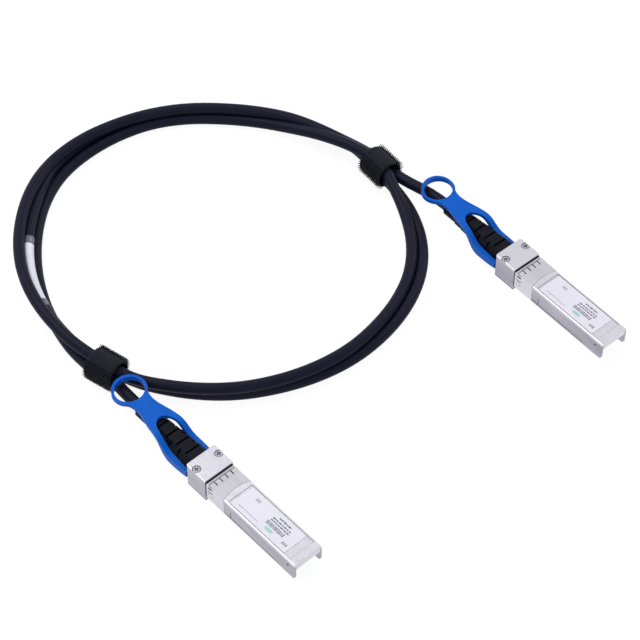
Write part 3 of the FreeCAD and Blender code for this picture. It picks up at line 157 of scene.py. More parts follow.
# The room lights the object from overhead, and less from the horizon. Where it is looked at, also
# in bare metal, it is plain white.
toward = add(room, "ShaderNodeTexCoord")
upward = add(room, "ShaderNodeSeparateXYZ", inputs={"Vector": toward.outputs["Generated"]})
shade = add(room, "ShaderNodeValToRGB", inputs={"Fac": upward.outputs["Z"]})
horizon, overhead = shade.color_ramp.elements
horizon.position, horizon.color = 0.0, rgb("#85858b")
overhead.position, overhead.color = 0.75, rgb("#dadade")
room_light = add(room, "ShaderNodeBackground",
                 inputs={"Color": shade.outputs["Color"], "Strength": 0.75})
white = add(room, "ShaderNodeBackground", inputs={"Color": rgb("#ffffff"), "Strength": 1.0})
pick = add(room, "ShaderNodeMixShader",
           inputs={0: looked_at(room), 1: room_light.outputs[0], 2: white.outputs[0]})
add(room, "ShaderNodeOutputWorld", inputs={"Surface": pick.outputs[0]})
bpy.context.scene.world = world


def mesh_object(name, points, faces, smooth=True, uv=None):
    """An object at the origin from points in metres and faces; uv holds a pair for each point."""
    mesh = bpy.data.meshes.new(name)
    mesh.from_pydata(np.asarray(points, float).tolist(), [], [list(map(int, f)) for f in faces])
    if uv is not None:
        layer = mesh.uv_layers.new(name="UVMap")
        corner = np.empty(len(mesh.loops), int)
        mesh.loops.foreach_get("vertex_index", corner)
        layer.data.foreach_set("uv", np.asarray(uv, float)[corner].ravel())
    mesh.polygons.foreach_set("use_smooth", [smooth] * len(mesh.polygons))
    mesh.update()
    thing = bpy.data.objects.new(name, mesh)
    bpy.context.scene.collection.objects.link(thing)
    return thing


# The floor lies a little below the part, so that the two never share a face; lengths in metres.
FLOOR_REACH, FLOOR_HEIGHT = 6, -0.0002
floor_corners = [(x * FLOOR_REACH, y * FLOOR_REACH, FLOOR_HEIGHT)
                 for x, y in ((-1, -1), (1, -1), (1, 1), (-1, 1))]
floor = mesh_object("floor", floor_corners, [(0, 1, 2, 3)])
paper = bpy.data.materials.new("white_paper_sweep")
paper.use_nodes = True
tree = paper.node_tree
tree.nodes.clear()
# Looked at, the sweep glows almost white and keeps a soft part of the shadow.
matt = add(tree, "ShaderNodeBsdfDiffuse", inputs={"Color": rgb("#f4f4f6")})
glow = add(tree, "ShaderNodeEmission", inputs={"Color": rgb("#ffffff"), "Strength": 1.08})
glow_share = add(tree, "ShaderNodeMath", {"operation": "MULTIPLY"}, {0: looked_at(tree), 1: 0.86})
sweep = add(tree, "ShaderNodeMixShader",
            inputs={0: glow_share.outputs[0], 1: matt.outputs[0], 2: glow.outputs[0]})
add(tree, "ShaderNodeOutputMaterial", inputs={"Surface": sweep.outputs[0]})
floor.data.materials.append(paper)


# ------------------------------------------------------------------ materials

# Most of a noise texture's values lie between these two.
NOISE_LOW, NOISE_HIGH = 0.3, 0.7
# The slow drift of a colour is this many grains wide, and has this share in the tint.
DRIFT_GRAINS, DRIFT_SHARE = 12, 0.65
# How open a spot of metal is where its painted shade is full, and where it has none.
DARK_OPENNESS, BRIGHT_OPENNESS = 0.5, 0.96
# The share of fuzz in a knitted face; the rest is its loops.
FUZZ_SHARE = 0.4


def material(name, color, roughness, metallic=0.0, **sockets):
    """A principled material; sockets are further inputs of the shader, with _ for a space."""
    made = bpy.data.materials.new(name)
    made.use_nodes = True
    tree = made.node_tree
    shader = tree.nodes["Principled BSDF"]
    shader.inputs["Base Color"].default_value = rgb(color)
    shader.inputs["Roughness"].default_value = roughness
    shader.inputs["Metallic"].default_value = metallic
    for key, what in sockets.items():
        shader.inputs[key.replace("_", " ")].default_value = what
    return made, tree, shader


def grained(made, tree, shader, size, depth, light, dark, rough_low, rough_high,
            stretch=(1, 1, 1)):
    """Fine grain and slow colour drift on Object coordinates.

    The grain is size wide and depth deep, in millimetres. Its colour goes from dark to light and
    its roughness from rough_low to rough_high. A stretch under 1 draws it out along that axis."""
    where = add(tree, "ShaderNodeTexCoord").outputs["Object"]
    along = add(tree, "ShaderNodeMapping", inputs={"Vector": where, "Scale": stretch}).outputs[0]
    fine = add(tree, "ShaderNodeTexNoise",
               inputs={"Vector": along, "Scale": 1 / (size * MM), "Detail": 3.0, "Roughness": 0.6})
    broad = add(tree, "ShaderNodeTexNoise",
                inputs={"Vector": along, "Scale": 1 / (DRIFT_GRAINS * size * MM),
                        "Detail": 2.0, "Roughness": 0.5})
    both = add(tree, "ShaderNodeMix", {"data_type": "FLOAT"},
               {0: DRIFT_SHARE, 2: fine.outputs["Fac"], 3: broad.outputs["Fac"]})
    tint = add(tree, "ShaderNodeMapRange",
               inputs={0: both.outputs[0], 1: NOISE_LOW, 2: NOISE_HIGH})
    color = add(tree, "ShaderNodeMix", {"data_type": "RGBA"}, {0: tint.outputs[0]})
    color.inputs["A"].default_value, color.inputs["B"].default_value = rgb(dark), rgb(light)
    tree.links.new(color.outputs["Result"], shader.inputs["Base Color"])
    sheen = add(tree, "ShaderNodeMapRange",
                inputs={0: fine.outputs["Fac"], 1: NOISE_LOW, 2: NOISE_HIGH,
                        3: rough_low, 4: rough_high})
    tree.links.new(sheen.outputs[0], shader.inputs["Roughness"])
    if depth:
        bump = add(tree, "ShaderNodeBump",
                   inputs={"Height": fine.outputs["Fac"], "Strength": 1.0, "Distance": depth * MM})
        tree.links.new(bump.outputs[0], shader.inputs["Normal"])
    return made


def paint_seam_shade(made, reach, dark):
    """Paints shade into a metal's colour in its slots and seams: reach in millimetres.

    The painted shade follows how much of the space around a spot, as far as reach, is open."""
    tree = made.node_tree
    shader = tree.nodes["Principled BSDF"]
    # Where the space around a spot is closed, shade is painted into its colour.
    open_sky = add(tree, "ShaderNodeAmbientOcclusion", {"samples": 8}, {"Distance": reach * MM})
    share = add(tree, "ShaderNodeMapRange",
                inputs={0: open_sky.outputs["AO"], 1: DARK_OPENNESS, 2: BRIGHT_OPENNESS})
    color = add(tree, "ShaderNodeMix", {"data_type": "RGBA"}, {0: share.outputs[0]})
    color.inputs["A"].default_value = rgb(dark)
    tree.links.new(shader.inputs["Base Color"].links[0].from_socket, color.inputs["B"])
    tree.links.new(color.outputs["Result"], shader.inputs["Base Color"])
    return made


def woven(made, tree, shader, pitch, depth, light, dark):
    """A knitted face on the piece's own UV: pitch and depth of its loops in millimetres.

    Two waves at right angles, multiplied, give rows of loops both ways, and fuzz breaks them up."""
    where = add(tree, "ShaderNodeTexCoord").outputs["UV"]
    # A wave texture's bands repeat every 2 pi / 20 at a scale of 1.
    scale = 2 * math.pi / 20 / pitch
    rows = [add(tree, "ShaderNodeTexWave", {"bands_direction": way},
                {"Vector": where, "Scale": scale, "Distortion": 1.2, "Detail": 2.0,
                 "Detail Scale": 1.5}) for way in ("X", "Y")]
    loops = add(tree, "ShaderNodeMath", {"operation": "MULTIPLY"},
                {0: rows[0].outputs["Fac"], 1: rows[1].outputs["Fac"]})
    fuzz = add(tree, "ShaderNodeTexNoise", inputs={"Vector": where, "Scale": 3.0, "Detail": 4.0})
    height = add(tree, "ShaderNodeMix", {"data_type": "FLOAT"},
                 {0: FUZZ_SHARE, 2: loops.outputs[0], 3: fuzz.outputs["Fac"]})
    # The colour follows the loops' height: painted highlight on their tops, painted shade in the
    # hollows.
    color = add(tree, "ShaderNodeMix", {"data_type": "RGBA"}, {0: height.outputs[0]})
    color.inputs["A"].default_value, color.inputs["B"].default_value = rgb(dark), rgb(light)
    tree.links.new(color.outputs["Result"], shader.inputs["Base Color"])
    bump = add(tree, "ShaderNodeBump",
               inputs={"Height": height.outputs[0], "Strength": 1.0, "Distance": depth * MM})
    tree.links.new(bump.outputs[0], shader.inputs["Normal"])
    return made


# Extruded plasticised PVC: black with a cold blue cast and a soft satin sheen along its length.
JACKET = grained(*material("extruded_pvc_jacket", "#131427", 0.5, Specular_IOR_Level=0.11),
                 0.9, 0.004, "#15162b", "#101122", 0.46, 0.54)
# Injection-moulded elastomer: deep black, duller than the jacket, with a fine spark-eroded grain.
BOOT = grained(*material("moulded_elastomer", "#0d0e18", 0.5, Specular_IOR_Level=0.09),
               0.35, 0.006, "#10111d", "#0a0b13", 0.46, 0.58)
# Injection-moulded polypropylene: saturated blue, smooth, slightly waxy.
TAB = grained(*material("moulded_polypropylene", "#0061cc", 0.42, Specular_IOR_Level=0.14),
              0.5, 0.003, "#0064d2", "#005bc2", 0.4, 0.48)
# The next five metals are smooth: grain is only colour and gloss, and shade is painted in seams.
# Zinc die casting, tumbled and nickel plated: grey satin, painted darker as shade on the sides.
ZINC = paint_seam_shade(grained(*material("plated_zinc_casting_painted_shade", "#a5a3ae", 0.3, 1.0),
                      0.7, 0, "#b6b4bf", "#918f9a", 0.24, 0.36, (0.35, 1, 1)), 1.3, "#1d1c22")
# The cover is polished before its plating, so it is smoother; painted brighter, as the lit top.
COVER = paint_seam_shade(grained(*material("polished_zinc_casting_painted_light", "#d2d0d9", 0.22, 1.0),
                       2.4, 0, "#d6d4dd", "#cccad3", 0.2, 0.25), 1.6, "#1d1c22")
# Spring steel with bright nickel: almost a mirror, with drawn lines along the strip.
COLLAR = paint_seam_shade(grained(*material("bright_nickel_strip", "#cdccd4", 0.15, 1.0),
                        1.2, 0, "#d6d5dd", "#c2c1ca", 0.13, 0.18, (0.15, 1, 1)), 1.2, "#17161b")
# Stamped stainless sheet, brushed along its length.
SLIDER = paint_seam_shade(grained(*material("brushed_stainless_sheet", "#a2a0aa", 0.3, 1.0),
                        0.8, 0, "#a8a6b0", "#98969f", 0.27, 0.34, (0.1, 1, 1)), 0.8, "#2a2930")
# Machined screws, nickel plated.
SCREW = paint_seam_shade(grained(*material("nickel_plated_screw", "#b4b2bc", 0.2, 1.0),
                       1.0, 0, "#b8b6c0", "#aeacb6", 0.18, 0.24), 0.7, "#131217")
# Hard-drawn spring wire, left bright.
WIRE = grained(*material("drawn_spring_wire", "#8c8c92", 0.3, 1.0),
               0.2, 0.001, "#96969c", "#84848c", 0.26, 0.34)
# Glass-epoxy laminate under green solder resist: glossy, with the weave just showing.
BOARD = grained(*material("green_solder_resist", "#12563a", 0.3, Coat_Weight=0.3),
                0.6, 0.004, "#166042", "#0e4a32", 0.26, 0.36)
# Electroplated hard gold on the board's contacts.
GOLD = grained(*material("hard_gold_plating", "#dcb45a", 0.22, 1.0),
               0.3, 0.001, "#e4bf68", "#cfa54c", 0.18, 0.28)
# Tinned brass ring, crimped.
FERRULE = grained(*material("tinned_brass", "#b8ab8c", 0.3, 1.0),
                  0.4, 0.002, "#c2b698", "#a69a7a", 0.26, 0.38)
# Aluminium foil wound around each pair.
FOIL = grained(*material("wound_aluminium_foil", "#c8c8cc", 0.28, 1.0),
               0.5, 0.01, "#d2d2d6", "#b8b8be", 0.2, 0.42)
# White polyester film with a satin varnish: a cold lilac white, brighter than the metal around it.
FILM = grained(*material("satin_polyester_film", "#efeef8", 0.4, Coat_Weight=0.2,
                         Coat_Roughness=0.25),
               1.2, 0.001, "#f1f0fa", "#ebeaf4", 0.36, 0.44)
# Screen-printed inks on the film.
INK_GREY = grained(*material("grey_printing_ink", "#7c7b86", 0.5),
                   0.2, 0.001, "#82818c", "#74737e", 0.45, 0.55)
INK_PALE = grained(*material("pale_printing_ink", "#c4c3ce", 0.5),
                   0.2, 0.001, "#cac9d4", "#bcbbc6", 0.45, 0.55)
INK_MINT = grained(*material("mint_printing_ink", "#a6dcc6", 0.5),
                   0.2, 0.001, "#b0e2ce", "#9cd6be", 0.45, 0.55)
# White vinyl marker sleeve under clear film.
MARKER = grained(*material("white_vinyl_marker", "#eeeff8", 0.4, Coat_Weight=0.3),
                 0.8, 0.002, "#f1f2fb", "#e8e9f3", 0.36, 0.46)
# Clear film shrunk over the black jacket looks like smoked grey glass.
CLEAR = grained(*material("shrunk_clear_film", "#5a5c68", 0.34, Coat_Weight=0.4),
                0.8, 0.002, "#60626e", "#54565f", 0.3, 0.4)
# Knitted nylon loops, black, with a dusty sheen; the loops are drawn a little coarse so that they
# show.
# The loops' tops carry a painted highlight and the hollows between them painted shade.
LOOPS = woven(*material("knitted_nylon_loop", "#0c0c14", 0.7, Specular_IOR_Level=0.1,
                        Sheen_Weight=0.04, Sheen_Roughness=0.5),
              1.15, 0.3, "#333342", "#020206")
# Cut nylon monofilament hooks: black with small glints.
HOOKS = grained(*material("nylon_hooks", "#0a0a12", 0.4, Specular_IOR_Level=0.12),
                0.3, 0.002, "#0e0e18", "#06060b", 0.36, 0.46)

# The finish of each kind of solid; a node is named for its kind, with _a or _b for its plug.
NODE_FINISH = {
    "housing_base": ZINC, "housing_cover": COVER, "emi_collar": COLLAR, "label": FILM,
    "circuit_board": BOARD, "boot": BOOT, "ferrule": FERRULE, "latch_slider": SLIDER,
    "pull_tab": TAB, "screw_left": SCREW, "screw_right": SCREW,
    "twinax_pair_left": FOIL, "twinax_pair_right": FOIL,
    "return_spring_left": WIRE, "return_spring_right": WIRE,
}
for node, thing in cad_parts.items():
    kind = node[:-2]
    if kind in NODE_FINISH:
        thing.data.materials.clear()
        thing.data.materials.append(NODE_FINISH[kind])


# ------------------------------------------------------------------ shapes

def tube(name, centers, radius, around):
    """A round tube along points in metres: at each of them a circle, square to the path.

    Each circle begins on the side nearest to where the last one did, so the tube has no twist. Its
    UV runs along the path and around it, both in millimetres."""
    centers = np.asarray(centers, float)
    count = len(centers)
    tangent = np.gradient(centers, axis=0)
    tangent /= np.linalg.norm(tangent, axis=1)[:, None]
    side = np.empty_like(tangent)
    side[0] = np.cross(tangent[0], (0, 0, 1))
    side[0] /= np.linalg.norm(side[0])
    for i in range(1, count):
        side[i] = side[i - 1] - tangent[i] * np.dot(side[i - 1], tangent[i])
        side[i] /= np.linalg.norm(side[i])
    rise = np.cross(side, tangent)
    turn = np.linspace(0, 2 * np.pi, around, endpoint=False)
    ring = centers[:, None, :] + radius * (np.cos(turn)[None, :, None] * side[:, None, :]
                                           + np.sin(turn)[None, :, None] * rise[:, None, :])
    i, j = np.meshgrid(np.arange(count - 1), np.arange(around), indexing="ij")
    k = (j + 1) % around
    faces = np.stack([i * around + j, (i + 1) * around + j,
                      (i + 1) * around + k, i * around + k], axis=-1).reshape(-1, 4).tolist()
    faces.append(list(range(around)))
    faces.append(list(range(count * around - 1, (count - 1) * around - 1, -1)))
    step = np.r_[0, np.cumsum(np.linalg.norm(np.diff(centers, axis=0), axis=1))] / MM
    uv = np.stack([np.repeat(step, around), np.tile(turn * radius / MM, count)], axis=1)
    return mesh_object(name, ring.reshape(-1, 3), faces, uv=uv)


# The corners of a box as 0 for low and 1 for high in x, y and z, and its six faces.
BOX_CORNERS = np.array([(x, y, z) for x in (0, 1) for y in (0, 1) for z in (0, 1)])
BOX_FACES = np.array([(0, 1, 3, 2), (4, 6, 7, 5), (0, 4, 5, 1), (2, 3, 7, 6), (0, 2, 6, 4),
                      (1, 5, 7, 3)])


def slabs(name, boxes, matrix):
    """Flat boxes with a small thickness: each is x, y, z low and x, y, z high in a plug's frame."""
    boxes = np.asarray(boxes, float)
    points = boxes[:, BOX_CORNERS, np.arange(3)].reshape(-1, 3)
    base = np.arange(len(boxes)) * len(BOX_CORNERS)
    faces = (base[:, None, None] + BOX_FACES).reshape(-1, 4).tolist()
    return mesh_object(name, placed(points, matrix), faces, smooth=False)


# ------------------------------------------------------------------ the cord

# The cord's turns: angle around the coil, distance from the coil's middle and height of the cord's
# middle. 2.43 is a cord that lies on the table; 360 more is the same place one turn later.
TURNS = [
    # first turn: out of tie a on the table, under the second turn
    (90, 79.6, 2.9), (102, 77.6, 2.43), (114, 77.3, 2.43), (126, 76.9, 2.43),
    (138, 76.9, 2.43), (150, 78.3, 2.43), (162, 79.8, 2.43), (174, 80.5, 2.43),
    (186, 81.2, 2.6), (198, 81.7, 3.2),
    # over the third turn, where it carries the marker, and down to the table in tie b
    (210, 78.7, 6.3), (222, 77.8, 6.4), (234, 77.9, 6.0), (246, 78.3, 6.0),
    (258, 78.4, 6.0), (270, 78.4, 5.8), (279, 78.4, 5.0), (288, 78.4, 4.0),
    (294, 78.2, 2.6), (300, 78.2, 2.43),
    # on the table in the outer lane, back to tie a
    (312, 78.4, 2.43), (324, 78.9, 2.43), (336, 79.2, 2.43), (348, 80.3, 2.43),
    (360, 81.6, 2.43), (372, 82.5, 2.43), (384, 83.6, 2.43), (396, 84.4, 2.43),
    (408, 83.9, 2.43), (420, 81.8, 2.43), (430, 79.1, 3.0), (438, 76.5, 4.7),
    # second turn: on top of the others all the way to tie b
    (450, 76.5, 6.3), (462, 74.6, 6.3), (474, 74.2, 6.6), (486, 73.6, 6.4),
    (498, 73.8, 6.4), (510, 75.3, 6.5), (522, 77.0, 6.5), (534, 78.6, 6.7),
    (546, 80.5, 7.4), (558, 81.9, 7.9), (570, 81.4, 10.0), (582, 81.2, 10.0),
    (594, 81.2, 9.6), (606, 81.2, 10.1), (618, 80.8, 10.3), (630, 80.5, 10.1),
    (639, 80.3, 9.7),
    # low beside the ring of tab b, which slides over it
    (648, 80.2, 8.6), (654, 80.2, 6.75), (660, 80.0, 6.8), (672, 79.5, 7.1),
    # on top of the first turn, then beside it in the inner lane, and up to the top of tie a
    (684, 79.5, 7.2), (696, 79.3, 7.2), (708, 79.4, 7.2), (720, 79.5, 6.8),
    (732, 78.9, 5.7), (744, 79.2, 4.5), (756, 79.9, 4.1), (768, 79.4, 4.3),
    (780, 78.0, 5.6), (790, 77.2, 7.6), (798, 78.0, 9.3),
    # third turn: down over the others, innermost on the table, outermost into tie b
    (810, 74.0, 9.0), (822, 70.8, 7.6), (834, 70.2, 4.6), (846, 71.0, 2.6),
    (858, 71.4, 2.43), (870, 73.2, 2.43), (882, 75.0, 2.43), (894, 75.7, 2.43),
    (906, 76.4, 2.43), (918, 77.1, 2.43), (930, 76.3, 2.43), (942, 75.1, 2.43),
    (954, 74.8, 2.43), (966, 75.4, 2.43), (978, 76.8, 2.43), (990, 78.9, 2.6),
    (996, 80.3, 3.2), (1001, 81.8, 4.4),
]
# A spline of order 3 touches the middle of each side between its control points, so at steps of
# 12 degrees they lie further out than the cord, by 1 / cos 6.
CONTROL_SPREAD = 1.0055
# Behind the boot the cord runs straight for this long.
TAIL_STRAIGHT = 9.0
# In a tie a tail's middle lies this far from the tie's middle, this many degrees below it.
TAIL_GAP, TAIL_SEAT = 2.825, 20


def tail_points(plug, tie, approach, outer_side):
    """Control points of a tail: straight back out of the boot, then into the tie beside the turns.

    approach is how far before the tie's middle the tail gets in line with it. outer_side is 1 or
    -1, for the side of the turns on which it lies."""
    matrix = plug_matrix(plug)
    leave = matrix @ Vector((-BOOT_END, 0, CORD_AXIS))
    next_one = matrix @ Vector((-BOOT_END - TAIL_STRAIGHT, 0, CORD_AXIS))
    tie_place, heading = tie
    middle = Vector((*tie_place, TIE_MIDDLE_HEIGHT))
    turn = Matrix.Rotation(math.radians(heading), 4, "Z")
    seat = math.radians(TAIL_SEAT)
    aside, below = TAIL_GAP * math.cos(seat) * outer_side, TAIL_GAP * math.sin(seat)
    return [leave, next_one, middle + turn @ Vector((-approach, aside, -below)),
            middle + turn @ Vector((TIE_WIDTH / 4, aside, -below))]


route = [tuple(p) for p in tail_points(PLUG_A, TIE_A, 9.0, -1)]
for angle, radius, height in TURNS:
    x, y = around_coil(angle, radius * CONTROL_SPREAD)
    route.append((x, y, height))
route += [tuple(p) for p in reversed(tail_points(PLUG_B, TIE_B, 6.0, 1))]

cord_curve = bpy.data.curves.new("cord", "CURVE")
cord_curve.dimensions = "3D"
spline = cord_curve.splines.new("NURBS")
spline.points.add(len(route) - 1)
spline.points.foreach_set(
    "co", np.array([(x * MM, y * MM, z * MM, 1) for x, y, z in route]).ravel())
spline.order_u = 3
spline.use_endpoint_u = True
spline.resolution_u = 5
# The cord's middle line, taken while the curve has no thickness; the marker follows it.
line_mesh = bpy.data.meshes.new_from_object(bpy.data.objects.new("cord_line", cord_curve))
line = np.empty(len(line_mesh.vertices) * 3)
line_mesh.vertices.foreach_get("co", line)
line = line.reshape(-1, 3)
cord_curve.bevel_depth = CORD_DIAMETER / 2 * MM
cord_curve.bevel_resolution = 7
cord_curve.use_fill_caps = True
cord = bpy.data.objects.new("cord_jacket", cord_curve)
bpy.context.scene.collection.objects.link(cord)
cord_curve.materials.append(JACKET)
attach(cord, "cable")
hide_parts("cable_coil", "cable_tail_a", "cable_tail_b")


# ------------------------------------------------------------------ marker on the cord

# Metres along the cord from boot a, between which the turn with the marker lies.
MARKED_TURN = (0.13, 0.42)
MARKER_PLACE = around_coil(243.0, 78.2) * MM
# Lengths of the white sleeve and of the clear film over it, in metres, and the steps along each.
MARKER_LENGTH, FILM_LENGTH, SLEEVE_STEPS = 0.0345, 0.039, 40
# The clear film shows at both ends, over this many of its steps.
CUFF_STEPS = 5
# How far the sleeve and the film stand off the jacket, and the sides of their outlines.
MARKER_SKIN, CUFF_SKIN, SLEEVE_SIDES = 0.15, 0.2, 32


def stretch_of_line(middle, span):
    """The cord's line from span / 2 before to span / 2 behind its nearest point to middle."""
    steps = np.r_[0, np.cumsum(np.linalg.norm(np.diff(line, axis=0), axis=1))]
    marked = (steps > MARKED_TURN[0]) & (steps < MARKED_TURN[1])
    gaps = np.where(marked, np.linalg.norm(line[:, :2] - middle, axis=1), np.inf)
    here = steps[int(np.argmin(gaps))]
    at = np.linspace(here - span / 2, here + span / 2, SLEEVE_STEPS)
    return np.stack([np.interp(at, steps, line[:, axis]) for axis in range(3)], axis=1)


marker = tube("marker_wrap", stretch_of_line(MARKER_PLACE, MARKER_LENGTH),
              (CORD_DIAMETER / 2 + MARKER_SKIN) * MM, SLEEVE_SIDES)
marker.data.materials.append(MARKER)
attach(marker, "cable")
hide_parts("cable_label")
on_cord = [marker]
film_path = stretch_of_line(MARKER_PLACE, FILM_LENGTH)
for index, part in enumerate((film_path[:CUFF_STEPS], film_path[-CUFF_STEPS:])):
    cuff = tube(f"clear_film_cuff_{index}", part, (CORD_DIAMETER / 2 + CUFF_SKIN) * MM,
                SLEEVE_SIDES)
    cuff.data.materials.append(CLEAR)
    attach(cuff, "cable")
    if index == 0:
        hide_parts("label_sleeve")
    on_cord.append(cuff)


# ------------------------------------------------------------------ ties

# Radii of a wound strap: its inside, and its outside where the outer layer begins. From there the
# outside grows by one layer over a turn, up to the free end near the top, at this angle in radians.
STRAP_INSIDE, STRAP_OUTSIDE, STRAP_LAYER, STRAP_END = 5.5, 6.15, 0.5, 1.55
# Height of the waves that run around the strap, and of those that run slantwise over it.
STRAP_WAVE, STRAP_SLANT_WAVE = 0.06, 0.04
# Width and depth of the rounding of its long edges.
STRAP_EDGE_WIDTH, STRAP_EDGE_DEPTH = 0.5, 0.35
# It is flat this far below its middle, where it rests on the table.
STRAP_FLAT = 6.5
# The radius at which its UV is as wide as the strap really is.
STRAP_UV_RADIUS = 6.3
# The real rows of hooks are about 0.6 mm apart; they are drawn a little coarser so that they show.
HOOKS_PER_ROW, HOOK_ROW_END = 14, 5.95
# Places of the rows, in degrees from the top of the sleeve on each side; the top stays bare.
HOOK_ANGLES = np.arange(40, 146, 10.5)
# Radius of the hooks' feet, half their thickness, and their least and greatest height.
HOOK_FOOT, HOOK_HALF, HOOK_HEIGHT = 6.05, 0.16, (1.35, 1.55)
# How far a hook may stray from its row, in radians, and lean along the cord.
HOOK_STRAY, HOOK_LEAN = 0.012, 0.05


def tie_matrix(tie):
    """The tie's own frame: X along the cord, Z up, origin at its middle, in millimetres."""
    (x, y), heading = tie
    return (Matrix.Translation((x, y, TIE_MIDDLE_HEIGHT))
            @ Matrix.Rotation(math.radians(heading), 4, "Z"))


def strap(name, tie, seed):
    """A strap wound on itself: a closed sleeve whose outside is a slow spiral with a lapped end.

    Its outer radius grows evenly over a turn, waves a little both ways, and falls at its edges as a
    root of the distance from them."""
    around, along = 120, 26
    half = TIE_WIDTH / 2
    turn = np.linspace(0, 2 * np.pi, around, endpoint=False)
    x = np.linspace(-half, half, along)
    past = (turn - STRAP_END) % (2 * np.pi)
    outer = (STRAP_OUTSIDE + STRAP_LAYER * past / (2 * np.pi)
             + STRAP_WAVE * np.sin(3 * turn + seed))
    grid_x, grid_t = np.meshgrid(x, turn, indexing="ij")
    edge = np.clip((half - np.abs(grid_x)) / STRAP_EDGE_WIDTH, 0, 1) ** 0.5
    radius = (outer[None, :] - STRAP_EDGE_DEPTH * (1 - edge)
              + STRAP_SLANT_WAVE * np.sin(grid_x * 1.3 + grid_t * 2 + seed))
    outside = np.stack([grid_x, radius * np.cos(grid_t), radius * np.sin(grid_t)], axis=-1)
    inside = np.stack([grid_x, STRAP_INSIDE * np.cos(grid_t), STRAP_INSIDE * np.sin(grid_t)],
                      axis=-1)
    points = np.concatenate([outside.reshape(-1, 3), inside.reshape(-1, 3)])
    points[:, 2] = np.maximum(points[:, 2], -STRAP_FLAT)
    size = along * around
    i, j = np.meshgrid(np.arange(along - 1), np.arange(around), indexing="ij")
    k = (j + 1) % around
    skin = np.stack([i * around + j, i * around + k, (i + 1) * around + k, (i + 1) * around + j],
                    axis=-1).reshape(-1, 4)
    faces = skin.tolist() + (skin[:, ::-1] + size).tolist()
    j = np.arange(around)
    k = (j + 1) % around
    last = (along - 1) * around
    faces += np.stack([j, size + j, size + k, k], axis=-1).tolist()
    faces += np.stack([last + k, size + last + k, size + last + j, last + j], axis=-1).tolist()
    uv = np.stack([points[:, 0], np.tile(turn, 2 * along) * STRAP_UV_RADIUS], axis=1)
    return mesh_object(name, placed(points, tie_matrix(tie)), faces, uv=uv)


def hook_rows(name, tie, seed):
    """Rows of short stems around both sides of the sleeve.

    Each is a four-sided spike that stands straight out, leans a little along the cord and is half
    as thick at its tip."""
    rng = np.random.default_rng(seed)
    angles = np.radians(HOOK_ANGLES)
    turn = np.repeat(np.concatenate([angles, -angles]), HOOKS_PER_ROW)
    x = np.tile(np.linspace(-HOOK_ROW_END, HOOK_ROW_END, HOOKS_PER_ROW), 2 * len(angles))
    turn = turn + rng.uniform(-HOOK_STRAY, HOOK_STRAY, len(turn))
    tall = rng.uniform(*HOOK_HEIGHT, len(turn))
    lean = rng.uniform(-HOOK_LEAN, HOOK_LEAN, len(turn))
    out = np.stack([np.zeros_like(turn), np.sin(turn), np.cos(turn)], axis=1)
    across = np.stack([np.zeros_like(turn), np.cos(turn), -np.sin(turn)], axis=1)
    along = np.array([1.0, 0, 0])
    foot = out * HOOK_FOOT
    foot[:, 0] = x
    tip = foot + out * tall[:, None] + along * lean[:, None]
    corners = [(-HOOK_HALF, -HOOK_HALF), (HOOK_HALF, -HOOK_HALF),
               (HOOK_HALF, HOOK_HALF), (-HOOK_HALF, HOOK_HALF)]
    layers = [middle + along * a * share + across * b * share
              for middle, share in ((foot, 1.0), (tip, 0.5)) for a, b in corners]
    points = np.stack(layers, axis=1).reshape(-1, 3)
    base = np.arange(len(turn)) * len(layers)
    quads = np.array([(0, 3, 2, 1), (4, 5, 6, 7), (0, 1, 5, 4), (1, 2, 6, 5), (2, 3, 7, 6),
                      (3, 0, 4, 7)])
    faces = (base[:, None, None] + quads).reshape(-1, 4).tolist()
    return mesh_object(name, placed(points, tie_matrix(tie)), faces, smooth=False)


for end, tie, seed in (("a", TIE_A, 3), ("b", TIE_B, 7)):
    band = strap(f"tie_{end}_strap", tie, seed)
    band.data.materials.append(LOOPS)
    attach(band, "cable")
    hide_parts(f"tie_{end}")
    spikes = hook_rows(f"tie_{end}_hooks", tie, seed)
    spikes.data.materials.append(HOOKS)
    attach(spikes, "cable")
    on_cord += [band, spikes]


# ------------------------------------------------------------------ printing and board contacts

# Heights in a plug's frame: the film's top face, and the thickness of the ink on it.
FILM_TOP, INK_DEPTH = 10.66, 0.015
# The board's contacts: how many on each face, their pitch, half their width, where they begin and
# end, and the low and high side of the gold on the upper and the lower face.
CONTACTS, CONTACT_PITCH, CONTACT_HALF = 10, 0.8, 0.26
CONTACT_START, CONTACT_STOP = 43.4, 46.3
CONTACT_HEIGHTS = ((5.45, 5.48), (4.42, 4.45))
# The pale oval field: its middle, half its length and width, and its sides.
OVAL_MIDDLE, OVAL_HALF, OVAL_SIDES = (31.5, -3.1), (2.2, 0.75), 32


def printed(name, plug, boxes, ink):
    """Ink fields on the film: flat rectangles of a plug's frame, each x, y low and x, y high."""
    raised = [((x0, y0, FILM_TOP), (x1, y1, FILM_TOP + INK_DEPTH)) for x0, y0, x1, y1 in boxes]
    made = slabs(name, raised, plug_matrix(plug))
    made.data.materials.append(ink)
    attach(made, "cable")
    return made


def dashes(x0, x1, y, tall, seed, gap=0.35):
    """A row of short bars of uneven length with even gaps, like a line of tiny generic marks."""
    rng = np.random.default_rng(seed)
    boxes, x = [], x0
    while x < x1:
        end = min(x1, x + rng.uniform(0.5, 1.5))
        boxes.append((x, y, end, y + tall))
        x = end + gap
    return boxes


def upright_bars(x0, x1, y0, y1, seed):
    """A field of thin upright bars of three widths, with two kinds of gap between them."""
    rng = np.random.default_rng(seed)
    boxes, x = [], x0
    while x < x1:
        wide = rng.choice([0.22, 0.34, 0.5])
        boxes.append((x, y0, min(x + wide, x1), y1))
        x += wide + rng.choice([0.24, 0.36])
    return boxes


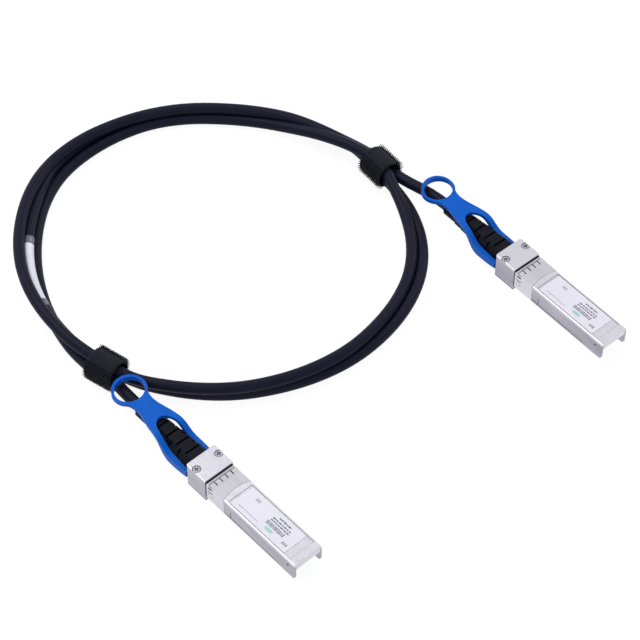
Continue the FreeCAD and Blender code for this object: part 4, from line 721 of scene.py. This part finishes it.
for end, plug in (("a", PLUG_A), ("b", PLUG_B)):
    # three lines of marks, a field of bars and three small blocks in a row
    grey = (dashes(30.5, 37.0, 3.1, 0.75, 2) + dashes(28.5, 38.0, 1.7, 0.6, 4)
            + dashes(28.5, 38.5, 0.6, 0.6, 6) + upright_bars(28.0, 37.5, -1.7, 0.0, 11)
            + [(39.0, -3.6, 39.5, -2.4), (39.9, -3.6, 40.4, -2.4), (40.8, -3.6, 41.3, -2.4)])
    printed(f"label_marks_{end}", plug, grey, INK_GREY)
    # a long faint line and a faint block
    pale = dashes(15.5, 26.0, -3.9, 0.5, 8) + [(18.0, 2.2, 20.4, 3.4)]
    printed(f"label_pale_marks_{end}", plug, pale, INK_PALE)
    # the oval field is a flat prism: its outline below, the same above, and a band of sides
    turn = np.linspace(0, 2 * np.pi, OVAL_SIDES, endpoint=False)
    oval = np.stack([OVAL_MIDDLE[0] + OVAL_HALF[0] * np.cos(turn),
                     OVAL_MIDDLE[1] + OVAL_HALF[1] * np.sin(turn),
                     np.full(OVAL_SIDES, FILM_TOP)], axis=1)
    i = np.arange(OVAL_SIDES)
    k = (i + 1) % OVAL_SIDES
    faces = [i[::-1].tolist(), (i + OVAL_SIDES).tolist()]
    faces += np.stack([i, k, OVAL_SIDES + k, OVAL_SIDES + i], axis=1).tolist()
    both_outlines = np.concatenate([oval, oval + (0, 0, INK_DEPTH)])
    mint = mesh_object(f"label_mint_field_{end}", placed(both_outlines, plug_matrix(plug)),
                       faces, smooth=False)
    mint.data.materials.append(INK_MINT)
    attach(mint, "cable")
    # gold on both faces of the board, at the pitch of the socket that takes it
    fingers = []
    for index in range(CONTACTS):
        y = (index - (CONTACTS - 1) / 2) * CONTACT_PITCH
        for low, high in CONTACT_HEIGHTS:
            fingers.append(((CONTACT_START, y - CONTACT_HALF, low),
                            (CONTACT_STOP, y + CONTACT_HALF, high)))
    contacts = slabs(f"board_contacts_{end}", fingers, plug_matrix(plug))
    contacts.data.materials.append(GOLD)
    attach(contacts, "cable")
